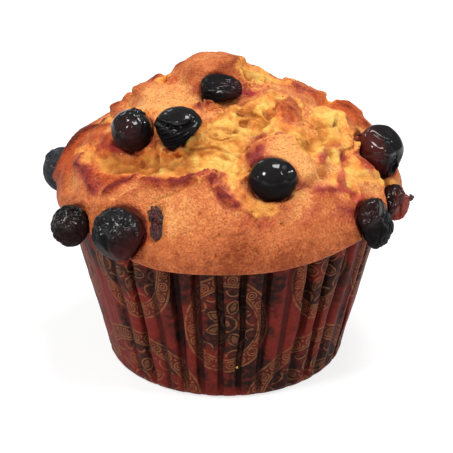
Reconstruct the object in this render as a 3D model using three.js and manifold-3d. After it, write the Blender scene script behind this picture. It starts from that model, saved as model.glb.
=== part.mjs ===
// A berry muffin in its pleated paper cup: a solid cake that fills the cup and swells over its
// rim, a thin pleated paper shell, and whole berries seated in pockets of the cake.
// Millimetres, +Z up. The origin is the centre of the cup's base, and the front faces -Y.

import * as THREE from 'three';
import { mergeVertices } from 'three/addons/utils/BufferGeometryUtils.js';
import Module from 'manifold-3d';

const wasm = await Module();
wasm.setup();

// Paper cup
const cupBaseRadius = 24.75;
const cupHeight = 36;
const cupFlare = 0.253;
const cupWall = 0.5;
const cupFloorRadius = 23.1;
const cupHeel = { radius: 24.6, height: 0.8, pleated: 0.35 };
const cupWallHeights = [2.9, 14, 25, cupHeight];
const pleatCount = 42;
const pleatDepthBase = 0.5;
const pleatDepthRim = 2.5;
const pleatUneven = 0.32;
const pleatSteps = [0, 0.52, 0.66, 0.86];
const grooveVaries = 0.15;

// Cake
const domeCentre = new THREE.Vector3(0.6, 1, 36);
const domeReach = 34.9;
const domeRise = 23.2;
const domeRoundness = 1.68;
const crustSwell = 0.7;
const lipLowest = 33.3;
const lipLift = 2.9;
const lipLowAzimuth = -10;
const lipSpread = { start: 12, left: 42, right: 75 };
const lipRound = 1.2;
const apronSwell = 1.1;
const tornEdge = 0.5;
const lipRim = [[2, 0.25], [1.2, 0], [0.5, 0.2], [0.12, 0.65]];
const fitGap = 0.3;
const fillFloorRadius = 21.6;
const fillHeights = [3.4, 18];
const cakeColumns = 78;
const domeRows = 24;

// Lobes of the crust: azimuth and elevation in degrees about the dome's centre, radius and
// height, and how softly the edge falls (1 is a rounded mound, less is a flatter plate)
const lobes = [
  { azimuth: -142, elevation: 77, radius: 11.5, height: 4.8, soft: 0.7 },
  { azimuth: -143, elevation: 55, radius: 9, height: 2, soft: 0.7 },
  { azimuth: -125, elevation: 41, radius: 7, height: 2.6, soft: 0.4 },
  { azimuth: -117, elevation: 29, radius: 5, height: 1.3, soft: 0.5 },
  { azimuth: -102, elevation: 8, radius: 9.5, height: 2, soft: 0.5 },
  { azimuth: -95, elevation: 58, radius: 8, height: 2.2, soft: 0.6 },
  { azimuth: -74, elevation: 25, radius: 10, height: 2.1, soft: 0.5 },
  { azimuth: -70, elevation: 43, radius: 7.5, height: 1.6, soft: 0.6 },
  { azimuth: -55, elevation: 12, radius: 9, height: 1.6, soft: 0.6 },
  { azimuth: -35, elevation: 52, radius: 8.5, height: 1.2, soft: 0.8 },
  { azimuth: 30, elevation: 37, radius: 11, height: 2.6, soft: 0.6 },
  { azimuth: 48, elevation: 60, radius: 8, height: 2, soft: 0.6 },
  { azimuth: 60, elevation: 13, radius: 9.5, height: 1.7, soft: 0.55 },
  { azimuth: 74, elevation: 36, radius: 9, height: 1.8, soft: 0.6 },
  { azimuth: 97, elevation: 5, radius: 9, height: 0.6, soft: 0.6 },
  { azimuth: 108, elevation: 23, radius: 8, height: 1.9, soft: 0.5 },
  { azimuth: 127, elevation: 40, radius: 7, height: 0.8, soft: 0.5 },
  { azimuth: 158, elevation: 18, radius: 12, height: 1.8, soft: 0.6 },
  { azimuth: 165, elevation: 60, radius: 8, height: 2, soft: 0.7 },
  { azimuth: -175, elevation: 42, radius: 8, height: 1.2, soft: 0.6 },
  { azimuth: -160, elevation: 22, radius: 13, height: 2.2, soft: 0.6 },
];

// Torn seams between the lobes: half-width, depth and [azimuth, elevation] along each
const seams = [
  { width: 2.4, depth: 1.5, path: [[50, 66], [30, 58], [20, 53], [7, 46], [-9, 37]] },
  { width: 2.2, depth: 1.3, path: [[-66, 23], [-54, 26], [-39, 30], [-24, 33], [-9, 35]] },
  { width: 1.4, depth: 1, path: [[15, 46], [9, 38], [12, 30], [20, 25], [27, 21], [44, 23]] },
  { width: 1.3, depth: 1.3, path: [[46, 36], [41, 31], [41, 26], [46, 21]] },
  { width: 1.4, depth: 0.9, path: [[-90, 14], [-76, 15], [-66, 19]] },
  { width: 1.5, depth: 1.1, path: [[-125, 27], [-113, 34], [-98, 37], [-84, 35], [-66, 34]] },
  { width: 1.6, depth: 0.9, path: [[60, 52], [64, 44], [58, 30], [56, 22]] },
  { width: 1.8, depth: 1.3, path: [[88, 47], [102, 38], [118, 31], [130, 20]] },
  { width: 2, depth: 1.3, path: [[70, 80], [125, 75], [170, 71]] },
  { width: 1.6, depth: 1, path: [[155, 48], [145, 32], [128, 18]] },
  { width: 1.6, depth: 1, path: [[-170, 52], [-150, 38], [-128, 22]] },
  { width: 1.5, depth: 0.9, path: [[175, 33], [190, 14]] },
];

// The torn upper edge of the smooth crust that rises from the rim: [azimuth, elevation]
const apronEdge = [
  [-180, 20], [-150, 26], [-120, 18], [-95, 20], [-70, 8], [-43, 15], [-41, 19], [-33, 25],
  [-25, 25], [-17, 29], [-8, 32], [-5, 28], [0, 22], [8, 18], [20, 19], [29, 21], [38, 18],
  [43, 15], [70, 8], [95, 18], [125, 14], [150, 22], [180, 20],
];

// Berries: place on the dome, lift of the centre above the crust, half sizes across, up and
// outwards, turn about the outward direction in degrees, and depth of the skin's folds
const berries = [
  { name: 'top', azimuth: -15, elevation: 75, lift: 1.3, size: [4.8, 3.8, 2.8], turn: -8, folds: 0.16 },
  { name: 'upper_left', azimuth: -56, elevation: 39, lift: 2, size: [4.4, 4.3, 4.2], turn: 0, folds: 0.08 },
  { name: 'upper_mid', azimuth: -32, elevation: 47, lift: 1.6, size: [4.5, 4.1, 3.2], turn: 25, folds: 0.2 },
  { name: 'centre', azimuth: 17, elevation: 27, lift: 1.4, size: [5.2, 4.3, 4.2], turn: -8, folds: 0.05 },
  { name: 'right', azimuth: 79, elevation: 20, lift: 2.2, size: [5, 5.3, 4.5], turn: 20, folds: 0.1 },
  { name: 'right_low', azimuth: 51, elevation: 5, lift: 2, size: [3.8, 5.4, 3.3], turn: 10, folds: 0.2 },
  { name: 'right_burst', azimuth: 68, elevation: 7, lift: 0.8, size: [3.4, 4.3, 3.6], turn: -15, folds: 0.2 },
  { name: 'left', azimuth: -104, elevation: 1, lift: -1, size: [4.5, 5, 4.4], turn: 0, folds: 0.07 },
  { name: 'left_low', azimuth: -56, elevation: 2.5, lift: 1.8, size: [4.1, 4.4, 4.1], turn: 0, folds: 0.12 },
  { name: 'front_left', azimuth: -36, elevation: 6, lift: 1.4, size: [5.6, 5.4, 4.6], turn: 10, folds: 0.08 },
  { name: 'back_left', azimuth: -150, elevation: 8, lift: 1.2, size: [4.7, 4.4, 4.1], turn: 15, folds: 0.09 },
  { name: 'back_mid', azimuth: -177, elevation: 22, lift: 1, size: [4.9, 4.2, 3.6], turn: -30, folds: 0.14 },
  { name: 'back_low', azimuth: 169, elevation: 5, lift: 1.2, size: [4.4, 4.8, 4.1], turn: 5, folds: 0.1 },
  { name: 'back_right', azimuth: 141, elevation: 2, lift: 1.2, size: [4.3, 4.5, 4], turn: 0, folds: 0.08 },
];

const colours = {
  paper: 0x571e1a,
  cake: 0xd98c46,
  berry: 0x1f1a20,
  burst: 0x4a2018,
};

const crown = new THREE.Vector3(0.75, -0.3, 0.6).normalize();
const crownDent = 0.1;
const radian = Math.PI / 180;

function smooth(low, high, value) {
  const t = Math.min(Math.max((value - low) / (high - low), 0), 1);
  return t * t * (3 - 2 * t);
}

// A repeatable number from 0 to 1 for each cell of a grid
function scatter(i, j, k, seed) {
  const wave = Math.sin(i * 127.1 + j * 311.7 + k * 74.7 + seed * 53.3) * 43758.5453;
  return wave - Math.floor(wave);
}

// Smooth value noise from -1 to 1: the cell's eight corner values, blended
function noise(point, cell, seed) {
  const q = point.clone().divideScalar(cell);
  const base = q.clone().floor();
  const f = q.sub(base);
  f.set(f.x * f.x * (3 - 2 * f.x), f.y * f.y * (3 - 2 * f.y), f.z * f.z * (3 - 2 * f.z));
  let sum = 0;
  for (const a of [0, 1]) {
    for (const b of [0, 1]) {
      for (const c of [0, 1]) {
        const weight = (a ? f.x : 1 - f.x) * (b ? f.y : 1 - f.y) * (c ? f.z : 1 - f.z);
        sum += weight * scatter(base.x + a, base.y + b, base.z + c, seed);
      }
    }
  }
  return 2 * sum - 1;
}

// Unit vector at an azimuth from -Y towards +X and an elevation, both in radians
function outward(azimuth, elevation) {
  const level = Math.cos(elevation);
  return new THREE.Vector3(
    Math.sin(azimuth) * level, -Math.cos(azimuth) * level, Math.sin(elevation));
}

// Smooth dome before its relief: a superellipse of revolution with an even swell
function domePoint(azimuth, elevation) {
  const across = Math.abs(Math.cos(elevation)) / domeReach;
  const upward = Math.abs(Math.sin(elevation)) / domeRise;
  const sum = across ** domeRoundness + upward ** domeRoundness;
  const radius = sum ** (-1 / domeRoundness) + crustSwell;
  return outward(azimuth, elevation).multiplyScalar(radius).add(domeCentre);
}

function domePointDegrees([azimuth, elevation]) {
  return domePoint(azimuth * radian, elevation * radian);
}

for (const lobe of lobes) {
  lobe.centre = domePointDegrees([lobe.azimuth, lobe.elevation]);
}
for (const seam of seams) {
  const points = seam.path.map(domePointDegrees);
  seam.runs = points.slice(1).map((point, i) => new THREE.Line3(points[i], point));
}

// Elevation of the apron's torn edge at an azimuth, both in degrees
function apronTop(azimuth) {
  const i = Math.max(1, apronEdge.findIndex(([turn]) => turn >= azimuth));
  const [[turn0, rise0], [turn1, rise1]] = apronEdge.slice(i - 1, i + 1);
  return rise0 + (rise1 - rise0) * (azimuth - turn0) / (turn1 - turn0);
}

// Height of the crust over the smooth dome: lobes and the apron joined by a cubic sum,
// less the seams, with gentle waves
function crustHeight(point, azimuth, elevation) {
  const warp = 1.2 * noise(point, 6.5, 3) + 0.8 * noise(point, 3.1, 4);
  let sum = 0;
  for (const { centre, radius, height, soft } of lobes) {
    const inside = 1 - (point.distanceTo(centre) + warp) / radius;
    sum += (height * smooth(0, soft, inside)) ** 3;
  }
  const below = (apronTop(azimuth / radian) * radian - elevation) * domeCentre.z + 0.6 * warp;
  const brow = Math.exp(-(((below - 1.2) / 1.8) ** 2)) * smooth(-1.2, 0.4, below);
  const apron = apronSwell * smooth(-1.2, 1.2, below) + tornEdge * brow;
  let height = Math.cbrt(sum + apron ** 3);
  const nearest = new THREE.Vector3();
  for (const { width, depth, runs } of seams) {
    const gaps = runs.map((run) => run.closestPointToPoint(point, true, nearest).distanceTo(point));
    const away = Math.max(Math.min(...gaps) + 0.7 * warp, 0);
    height -= depth * Math.exp(-((away / width) ** 2));
  }
  const rough = smooth(8 * radian, 30 * radian, elevation);
  return height + 0.35 * noise(point, 9, 1) + 0.35 * rough * noise(point, 4.2, 2);
}

function crustPoint(azimuth, elevation) {
  const point = domePoint(azimuth, elevation);
  const height = crustHeight(point, azimuth, elevation);
  return point.addScaledVector(outward(azimuth, elevation), height);
}

// Turns a closed geometry into one with shared vertices and no collapsed triangles
function welded(geometry) {
  geometry.deleteAttribute('normal');
  geometry.deleteAttribute('uv');
  const merged = mergeVertices(geometry, 1e-4);
  const index = merged.index.array;
  const kept = [];
  for (let i = 0; i < index.length; i += 3) {
    const [a, b, c] = index.slice(i, i + 3);
    if (a !== b && b !== c && c !== a) kept.push(a, b, c);
  }
  merged.setIndex(kept);
  return merged;
}

// A lathe whose rows are placed by a rule: place(row, azimuth) gives each vertex. The first
// and last rows are single points, and the rows run from the bottom outwards and up.
function spun(rowCount, columns, place) {
  const profile = [];
  for (let row = 0; row < rowCount; row++) {
    const t = row / (rowCount - 1) * Math.PI;
    profile.push(new THREE.Vector2(Math.sin(t), -Math.cos(t)));
  }
  const geometry = new THREE.LatheGeometry(profile, columns);
  const position = geometry.attributes.position;
  for (let column = 0; column <= columns; column++) {
    const azimuth = (column % columns) / columns * 2 * Math.PI;
    const turned = azimuth > Math.PI ? azimuth - 2 * Math.PI : azimuth;
    for (let row = 0; row < rowCount; row++) {
      const point = place(row, turned);
      position.setXYZ(column * rowCount + row, point.x, point.y, point.z);
    }
  }
  return welded(geometry);
}

function ringPoint(azimuth, radius, height) {
  return new THREE.Vector3(Math.sin(azimuth) * radius, -Math.cos(azimuth) * radius, height);
}

// Outer radius of the cup's ridges and depth of its pleats at a height
function ridgeRadius(height) {
  return cupBaseRadius + cupFlare * height;
}

function pleatDepth(height) {
  return pleatDepthBase + (pleatDepthRim - pleatDepthBase) * height / cupHeight;
}

// Rows of the cup as radius, height and share of the pleats' depth: the outer face from the
// middle of the base to the rim, then the inner face back to the middle
function cupRows() {
  const { radius, height, pleated } = cupHeel;
  const outer = [[0, 0, 0], [cupFloorRadius, 0, 0], [radius, height, pleated]];
  outer.push(...cupWallHeights.map((rise) => [ridgeRadius(rise), rise, 1]));
  const inner = [[0, cupWall, 0], [cupFloorRadius - cupWall / 2, cupWall, 0]];
  inner.push([radius - cupWall, height + cupWall, pleated]);
  inner.push(...cupWallHeights.map((rise) => [ridgeRadius(rise) - cupWall, rise, 1]));
  return [...outer, ...inner.reverse()];
}

// Cup: a flat base with a rounded edge, and a wall whose pleats are flat ridges and narrower
// grooves of uneven width. A pleat is two columns on its ridge and two in its groove.
function cupGeometry() {
  const rows = cupRows();
  const columns = pleatCount * pleatSteps.length;
  return spun(rows.length, columns, (row, azimuth) => {
    const column = (Math.round(azimuth / (2 * Math.PI) * columns) + columns) % columns;
    const pleat = Math.floor(column / pleatSteps.length);
    const part = column % pleatSteps.length;
    const shift = part === 0 ? scatter(pleat, 0, 0, 7) - 0.5 : scatter(pleat, part, 0, 8) * 0.3;
    const turn = (pleat + pleatSteps[part] + pleatUneven * shift) / pleatCount * 2 * Math.PI;
    const [radius, height, share] = rows[row];
    const groove = part >= 2 ? share : 0;
    const uneven = 1 - grooveVaries * scatter(pleat, part, 1, 9);
    return ringPoint(turn, radius - groove * uneven * pleatDepth(height), height);
  });
}

// Height of the lip's lower edge: lowest left of the front, rising towards the sides and
// sooner on the left, where berries hang over the rim
function lipHeight(azimuth) {
  const turn = azimuth / radian - lipLowAzimuth;
  const end = turn < 0 ? lipSpread.left : lipSpread.right;
  const side = smooth(lipSpread.start, end, Math.abs(turn));
  return lipLowest + lipLift * side + 0.12 * Math.sin(azimuth * 5 + 1);
}

// Inner radius that the cake may fill, clear of the deepest pleats
function fillRadius(height) {
  return ridgeRadius(height) - cupWall - pleatDepth(height) - fitGap;
}

// Cake: fills the cup, folds over its rim in a hanging lip with a groove that clears the
// paper's edge, and rises as the torn dome
function cakeGeometry() {
  const floor = cupWall + fitGap;
  const groove = cupHeight + 1.3 * fitGap;
  const grooveRadius = ridgeRadius(cupHeight) + 1.5 * fitGap;
  const stem = [[0, floor], [fillFloorRadius, floor]];
  stem.push(...[...fillHeights, groove].map((height) => [fillRadius(height), height]));
  stem.push([grooveRadius, groove]);
  const rowCount = stem.length + lipRim.length + domeRows;
  return spun(rowCount, cakeColumns, (row, azimuth) => {
    if (row < stem.length) {
      return ringPoint(azimuth, ...stem[row]);
    }
    const edge = lipHeight(azimuth);
    const lowest = Math.asin((edge + lipRound - domeCentre.z) / (domeReach + lipRound));
    const hem = crustPoint(azimuth, lowest);
    const radius = Math.hypot(hem.x, hem.y);
    const turn = Math.atan2(hem.x, -hem.y);
    const step = row - stem.length;
    if (step < lipRim.length) {
      const [inset, rise] = lipRim[step];
      return ringPoint(turn, Math.max(grooveRadius, radius - inset), edge + rise);
    }
    const share = (step - lipRim.length) / (domeRows - 1);
    const elevation = lowest + (Math.PI / 2 - lowest) * share;
    return crustPoint(share === 1 ? 0 : azimuth, elevation);
  });
}

// Berry: an ellipsoid with soft folds, dented at its crown; grown makes the pocket that it
// sits in
function berryGeometry(berry, grown) {
  const azimuth = berry.azimuth * radian;
  const elevation = berry.elevation * radian;
  const out = outward(azimuth, elevation);
  const east = new THREE.Vector3(Math.cos(azimuth), Math.sin(azimuth), 0);
  east.applyAxisAngle(out, berry.turn * radian);
  const north = new THREE.Vector3().crossVectors(out, east);
  const centre = crustPoint(azimuth, elevation).addScaledVector(out, berry.lift);
  const geometry = new THREE.SphereGeometry(1, 12, 8);
  const position = geometry.attributes.position;
  for (let i = 0; i < position.count; i++) {
    const ray = new THREE.Vector3().fromBufferAttribute(position, i);
    const fold = Math.abs(noise(ray.clone().addScalar(berry.azimuth), 0.55, 5));
    const dent = Math.exp(-(((1 - ray.dot(crown)) / 0.12) ** 2));
    const scale = 1 - berry.folds * fold - crownDent * dent;
    const point = new THREE.Vector3();
    point.addScaledVector(east, ray.x * berry.size[0] * scale);
    point.addScaledVector(north, ray.y * berry.size[1] * scale);
    point.addScaledVector(out, ray.z * berry.size[2] * scale);
    point.setLength(point.length() + grown).add(centre);
    position.setXYZ(i, point.x, point.y, point.z);
  }
  return welded(geometry);
}

function toSolid(geometry) {
  const vertProperties = new Float32Array(geometry.attributes.position.array);
  const triVerts = new Uint32Array(geometry.index.array);
  return new wasm.Manifold(new wasm.Mesh({ numProp: 3, vertProperties, triVerts }));
}

function fromSolid(solid) {
  const mesh = solid.getMesh();
  const geometry = new THREE.BufferGeometry();
  geometry.setAttribute('position', new THREE.BufferAttribute(mesh.vertProperties, 3));
  geometry.setIndex(new THREE.BufferAttribute(mesh.triVerts, 1));
  return geometry;
}

function named(name, geometry, color, roughness) {
  geometry.computeVertexNormals();
  const material = new THREE.MeshStandardMaterial({ color, roughness, metalness: 0 });
  const mesh = new THREE.Mesh(geometry, material);
  mesh.name = name;
  return mesh;
}

// The space that the cup and a small gap round it take up, which the low berries stay out of
function cupSpace() {
  const top = cupHeight + fitGap;
  const rows = [[0, 0], [ridgeRadius(0) + fitGap, 0], [ridgeRadius(top) + fitGap, top], [0, top]];
  return toSolid(spun(rows.length, pleatCount, (row, azimuth) => ringPoint(azimuth, ...rows[row])));
}

const group = new THREE.Group();
group.add(named('paper_cup', cupGeometry(), colours.paper, 0.7));

let cake = toSolid(cakeGeometry());
for (const berry of berries) {
  cake = cake.subtract(toSolid(berryGeometry(berry, fitGap + 0.1)));
}
group.add(named('cake', fromSolid(cake), colours.cake, 0.8));

const cupSolid = cupSpace();
for (const berry of berries) {
  const color = berry.name === 'right_burst' ? colours.burst : colours.berry;
  const solid = toSolid(berryGeometry(berry, 0)).subtract(cupSolid);
  group.add(named(`berry_${berry.name}`, fromSolid(solid), color, 0.3));
}

export default group;
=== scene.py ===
# A berry muffin in its pleated paper cup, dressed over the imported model.
# Lengths in the dictionaries are millimetres and angles are degrees. Meshes are made in metres.
# An azimuth runs from the front (-Y) towards +X, and an elevation from the rim up to the peak.

import bpy
import numpy as np
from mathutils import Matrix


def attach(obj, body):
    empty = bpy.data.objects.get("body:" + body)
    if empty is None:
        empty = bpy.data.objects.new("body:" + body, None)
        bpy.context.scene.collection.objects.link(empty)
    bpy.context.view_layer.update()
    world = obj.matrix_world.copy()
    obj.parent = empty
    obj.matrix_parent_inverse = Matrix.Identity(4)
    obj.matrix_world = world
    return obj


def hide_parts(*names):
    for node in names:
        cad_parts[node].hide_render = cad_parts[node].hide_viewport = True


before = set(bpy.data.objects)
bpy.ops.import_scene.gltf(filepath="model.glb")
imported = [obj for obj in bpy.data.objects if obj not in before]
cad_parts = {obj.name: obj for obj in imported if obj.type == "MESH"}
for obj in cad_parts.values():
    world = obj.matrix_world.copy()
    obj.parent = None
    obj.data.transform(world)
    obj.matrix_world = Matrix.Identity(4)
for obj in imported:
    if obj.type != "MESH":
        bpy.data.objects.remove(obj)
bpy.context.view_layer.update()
print("loaded", len(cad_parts), "solids")
scene = bpy.context.scene
radian = np.pi / 180


# Small numpy tools

def smooth(low, high, value):
    # 0 at low, 1 at high, and a smooth step 3t^2 - 2t^3 between them; low may be the larger
    t = np.clip((value - low) / (high - low), 0, 1)
    return t * t * (3 - 2 * t)


def hump(value, width):
    # bell curve, 1 at zero and falling to about a third at the width
    return np.exp(-(value / width) ** 2)


def scatter(i, j, k, seed):
    # a repeatable number from 0 to 1 for each cell: the fraction of a large sine
    wave = np.sin(i * 127.1 + j * 311.7 + k * 74.7 + seed * 53.3) * 43758.5453
    return wave - np.floor(wave)


def noise(points, cell, seed):
    # value noise from -1 to 1: the eight corner values of the point's cell, blended smoothly
    q = points / cell
    base = np.floor(q)
    f = q - base
    f = f * f * (3 - 2 * f)
    total = 0
    for corner in np.ndindex(2, 2, 2):
        wx, wy, wz = (f[..., i] if corner[i] else 1 - f[..., i] for i in range(3))
        total = total + wx * wy * wz * scatter(*np.moveaxis(base + corner, -1, 0), seed)
    return 2 * total - 1


def grain(points, cell, seed, octaves=3):
    # noise at a cell and its halves, each turned and half as strong, about -1 to 1
    total = 0
    for i in range(octaves):
        a = 0.9 + 1.3 * i
        turned = points @ np.array([
            [np.cos(a), -np.sin(a) * 0.8, np.sin(a) * 0.6],
            [np.sin(a), np.cos(a) * 0.8, -np.cos(a) * 0.6],
            [0, 0.6, 0.8]])
        total = total + noise(turned, cell * 0.5 ** i, seed + i) * 0.5 ** i
    return total / 1.5


def bowls(points, cell, seed, least, spread, power):
    # round hollows of uneven radius strewn one to a cell: a paraboloid, 1 in the middle of the
    # nearest and 0 outside it, and that one's radius
    q = points / cell
    nearest = np.full(points.shape[:-1], 9.0)
    own = np.zeros(points.shape[:-1])
    for step in np.ndindex(3, 3, 3):
        corner = np.floor(q) + step - 1
        x, y, z = np.moveaxis(corner, -1, 0)
        spot = corner + np.stack([scatter(x, y, z, seed + i) for i in range(3)], -1)
        away = np.linalg.norm(q - spot, axis=-1)
        own = np.where(away < nearest, scatter(x, y, z, seed + 3), own)
        nearest = np.minimum(nearest, away)
    radius = least + spread * own ** power
    return np.maximum(1 - (nearest * cell / radius) ** 2, 0), radius


def outward(azimuth, elevation):
    # unit vector at an azimuth and elevation in radians
    level = np.cos(elevation)
    return np.stack(np.broadcast_arrays(
        np.sin(azimuth) * level, -np.cos(azimuth) * level, np.sin(elevation)), -1)


def unit(direction):
    return np.array(direction) / np.linalg.norm(direction)


def angleTo(directions, towards):
    return np.arccos(np.clip(directions @ unit(towards), -1, 1))


def turnRound(directions, axis):
    # angle round an axis, from a side that the cross product with a slanted vector gives
    side = unit(np.cross(unit(axis), (0.3, 0.5, 0.8)))
    return np.arctan2(directions @ np.cross(unit(axis), side), directions @ side)


def pathGap(points, spots):
    # distance to the nearest leg of the path that runs through the spots
    best = np.full(points.shape[:-1], 99.0)
    for start, end in zip(spots[:-1], spots[1:]):
        leg = end - start
        along = np.clip(((points - start) @ leg) / (leg @ leg), 0, 1)
        away = np.linalg.norm(points - start - along[..., None] * leg, axis=-1)
        best = np.minimum(best, away)
    return best


def gridNormals(grid):
    # unit normals of a lathe grid: the cross product of its two directions' differences
    along = np.roll(grid, -1, 1) - np.roll(grid, 1, 1)
    normal = np.cross(along, np.gradient(grid, axis=0))
    return normal / np.maximum(np.linalg.norm(normal, axis=-1, keepdims=True), 1e-9)


def softened(values, reach):
    # mean over a window of so many grid steps each way, from running sums; columns close
    span = 2 * reach + 1
    rows = np.pad(values, ((reach + 1, reach), (0, 0)), "edge").cumsum(0)
    rows = (rows[span:] - rows[:-span]) / span
    columns = np.pad(rows, ((0, 0), (reach + 1, reach)), "wrap").cumsum(1)
    return (columns[:, span:] - columns[:, :-span]) / span


def columnTurns(count):
    return np.linspace(-np.pi, np.pi, count, endpoint=False)


def latheMesh(name, grids, finish, fields, flat=None):
    # A closed skin over a grid of rows and columns in millimetres, or over each of several
    # grids. Columns close on themselves, and the first and last rows draw in to one point each.
    # fields are values for each vertex, and flat is its place in millimetres on the flat sheet
    # that it was pressed from.
    grids = grids[None] if grids.ndim == 3 else grids
    count, rows, columns = grids.shape[:3]

    def gathered(values):
        ends = values[:, [0, -1]].mean(2)
        middle = values[:, 1:-1].reshape((count, -1) + values.shape[3:])
        joined = np.concatenate([ends[:, :1], middle, ends[:, 1:]], 1)
        return joined.reshape((-1,) + values.shape[3:])

    points = gathered(grids) / 1000
    each = len(points) // count
    begin = (np.arange(count) * each)[:, None, None]
    column = np.arange(columns)
    after = (column + 1) % columns
    row = 1 + np.arange(rows - 3)[:, None] * columns
    near, far = row + column, row + after
    quads = np.stack([near, far, far + columns, near + columns], -1)
    last = 1 + (rows - 3) * columns
    foot = np.stack([np.zeros_like(column), after + 1, column + 1], -1)
    head = np.stack([last + column, last + after, np.full_like(column, each - 1)], -1)
    faces = (begin + quads.reshape(-1, 4)).reshape(-1, 4).tolist()
    faces += (begin + np.concatenate([foot, head])).reshape(-1, 3).tolist()
    mesh = bpy.data.meshes.new(name)
    mesh.from_pydata(points.tolist(), [], faces)
    mesh.shade_smooth()
    for field, values in fields.items():
        values = gathered(np.broadcast_to(values, grids.shape[:3]))
        layer = mesh.attributes.new(field, "FLOAT", "POINT")
        layer.data.foreach_set("value", values.astype(np.float32))
    if flat is not None:
        corners = np.zeros(len(mesh.loops), np.int32)
        mesh.loops.foreach_get("vertex_index", corners)
        layer = mesh.uv_layers.new(name="flatSheet")
        layer.data.foreach_set("uv", gathered(flat[None])[corners].astype(np.float32).ravel())
    mesh.materials.append(finish)
    return placed(bpy.data.objects.new(name, mesh))


def placed(thing):
    scene.collection.objects.link(thing)
    return thing


# Shader tools

def written(operation):
    # an operator of a wire, and its reflected form
    return (lambda wire, other: wire.finish.maths(operation, wire, other),
            lambda wire, other: wire.finish.maths(operation, other, wire))


class Wire:
    # a node's socket that sums, products and quotients can be written with
    __add__, __radd__ = written("ADD")
    __sub__, __rsub__ = written("SUBTRACT")
    __mul__, __rmul__ = written("MULTIPLY")
    __truediv__, __rtruediv__ = written("DIVIDE")

    def __init__(self, finish, socket):
        self.finish = finish
        self.socket = socket


class Finish:
    # a material with its one Principled shader, and the ways to add nodes to it
    def __init__(self, name, constants):
        self.material = bpy.data.materials.new(name)
        self.material.use_nodes = True
        self.nodes = self.material.node_tree.nodes
        self.shader = self.nodes["Principled BSDF"]
        for socket, value in constants.items():
            self.shader.inputs[socket].default_value = value
        self.place = self.add("ShaderNodeTexCoord", output="Object")

    def feed(self, socket, value):
        if isinstance(value, Wire):
            self.material.node_tree.links.new(value.socket, socket)
        else:
            socket.default_value = value

    def add(self, kind, settings=None, values=None, output=0):
        node = self.nodes.new(kind)
        for setting, value in (settings or {}).items():
            setattr(node, setting, value)
        for socket, value in (values or {}).items():
            self.feed(node.inputs[socket], value)
        return Wire(self, node.outputs[output])

    def maths(self, operation, *values):
        return self.add("ShaderNodeMath", {"operation": operation}, dict(enumerate(values)))

    def set(self, **values):
        for socket, value in values.items():
            self.feed(self.shader.inputs[socket.replace("_", " ")], value)

    def fields(self, *names):
        return [self.add("ShaderNodeAttribute", {"attribute_name": name}, output="Fac")
                for name in names]

    def step(self, value, low, high):
        return self.add("ShaderNodeMapRange", {"interpolation_type": "SMOOTHSTEP"},
                        {"Value": value, "From Min": low, "From Max": high})

    def mix(self, share, first, second, blend="MIX"):
        return self.add("ShaderNodeMix", {"data_type": "RGBA", "blend_type": blend},
                        {0: share, 6: first, 7: second}, output=2)

    def layered(self, colour, *layers):
        # colours laid over one another, each with its share
        for share, over in layers:
            colour = self.mix(share, colour, over)
        return colour

    def speckled(self, colour, grit, dark):
        # multiplied by a tint where fine noise is low
        shade = self.mix(self.step(grit, 0.3, 0.7), dark, (1, 1, 1, 1))
        return self.mix(1, colour, shade, "MULTIPLY")

    def cloud(self, cell, detail=2, rough=0.5, warp=0):
        # noise with cells of about so many millimetres, from 0 to 1
        return self.add("ShaderNodeTexNoise", None, {
            "Vector": self.place, "Scale": 1000 / cell, "Detail": detail,
            "Roughness": rough, "Distortion": warp}, output="Fac")

    def pores(self, cell):
        # distance to the nearest of the points strewn one to a cell, in cells
        return self.add("ShaderNodeTexVoronoi", {"feature": "F1"}, {
            "Vector": self.place, "Scale": 1000 / cell, "Randomness": 1.0}, output="Distance")

    def bump(self, height, millimetres, strength):
        return self.add("ShaderNodeBump", None, {
            "Height": height, "Distance": millimetres / 1000, "Strength": strength})


def tint(red, green, blue):
    # a screen colour from 0 to 255 as the linear colour that a shader takes
    channels = np.array([red, green, blue]) / 255
    linear = np.where(channels < 0.04045, channels / 12.92, ((channels + 0.055) / 1.055) ** 2.4)
    return (*linear.tolist(), 1.0)


# The cake

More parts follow.
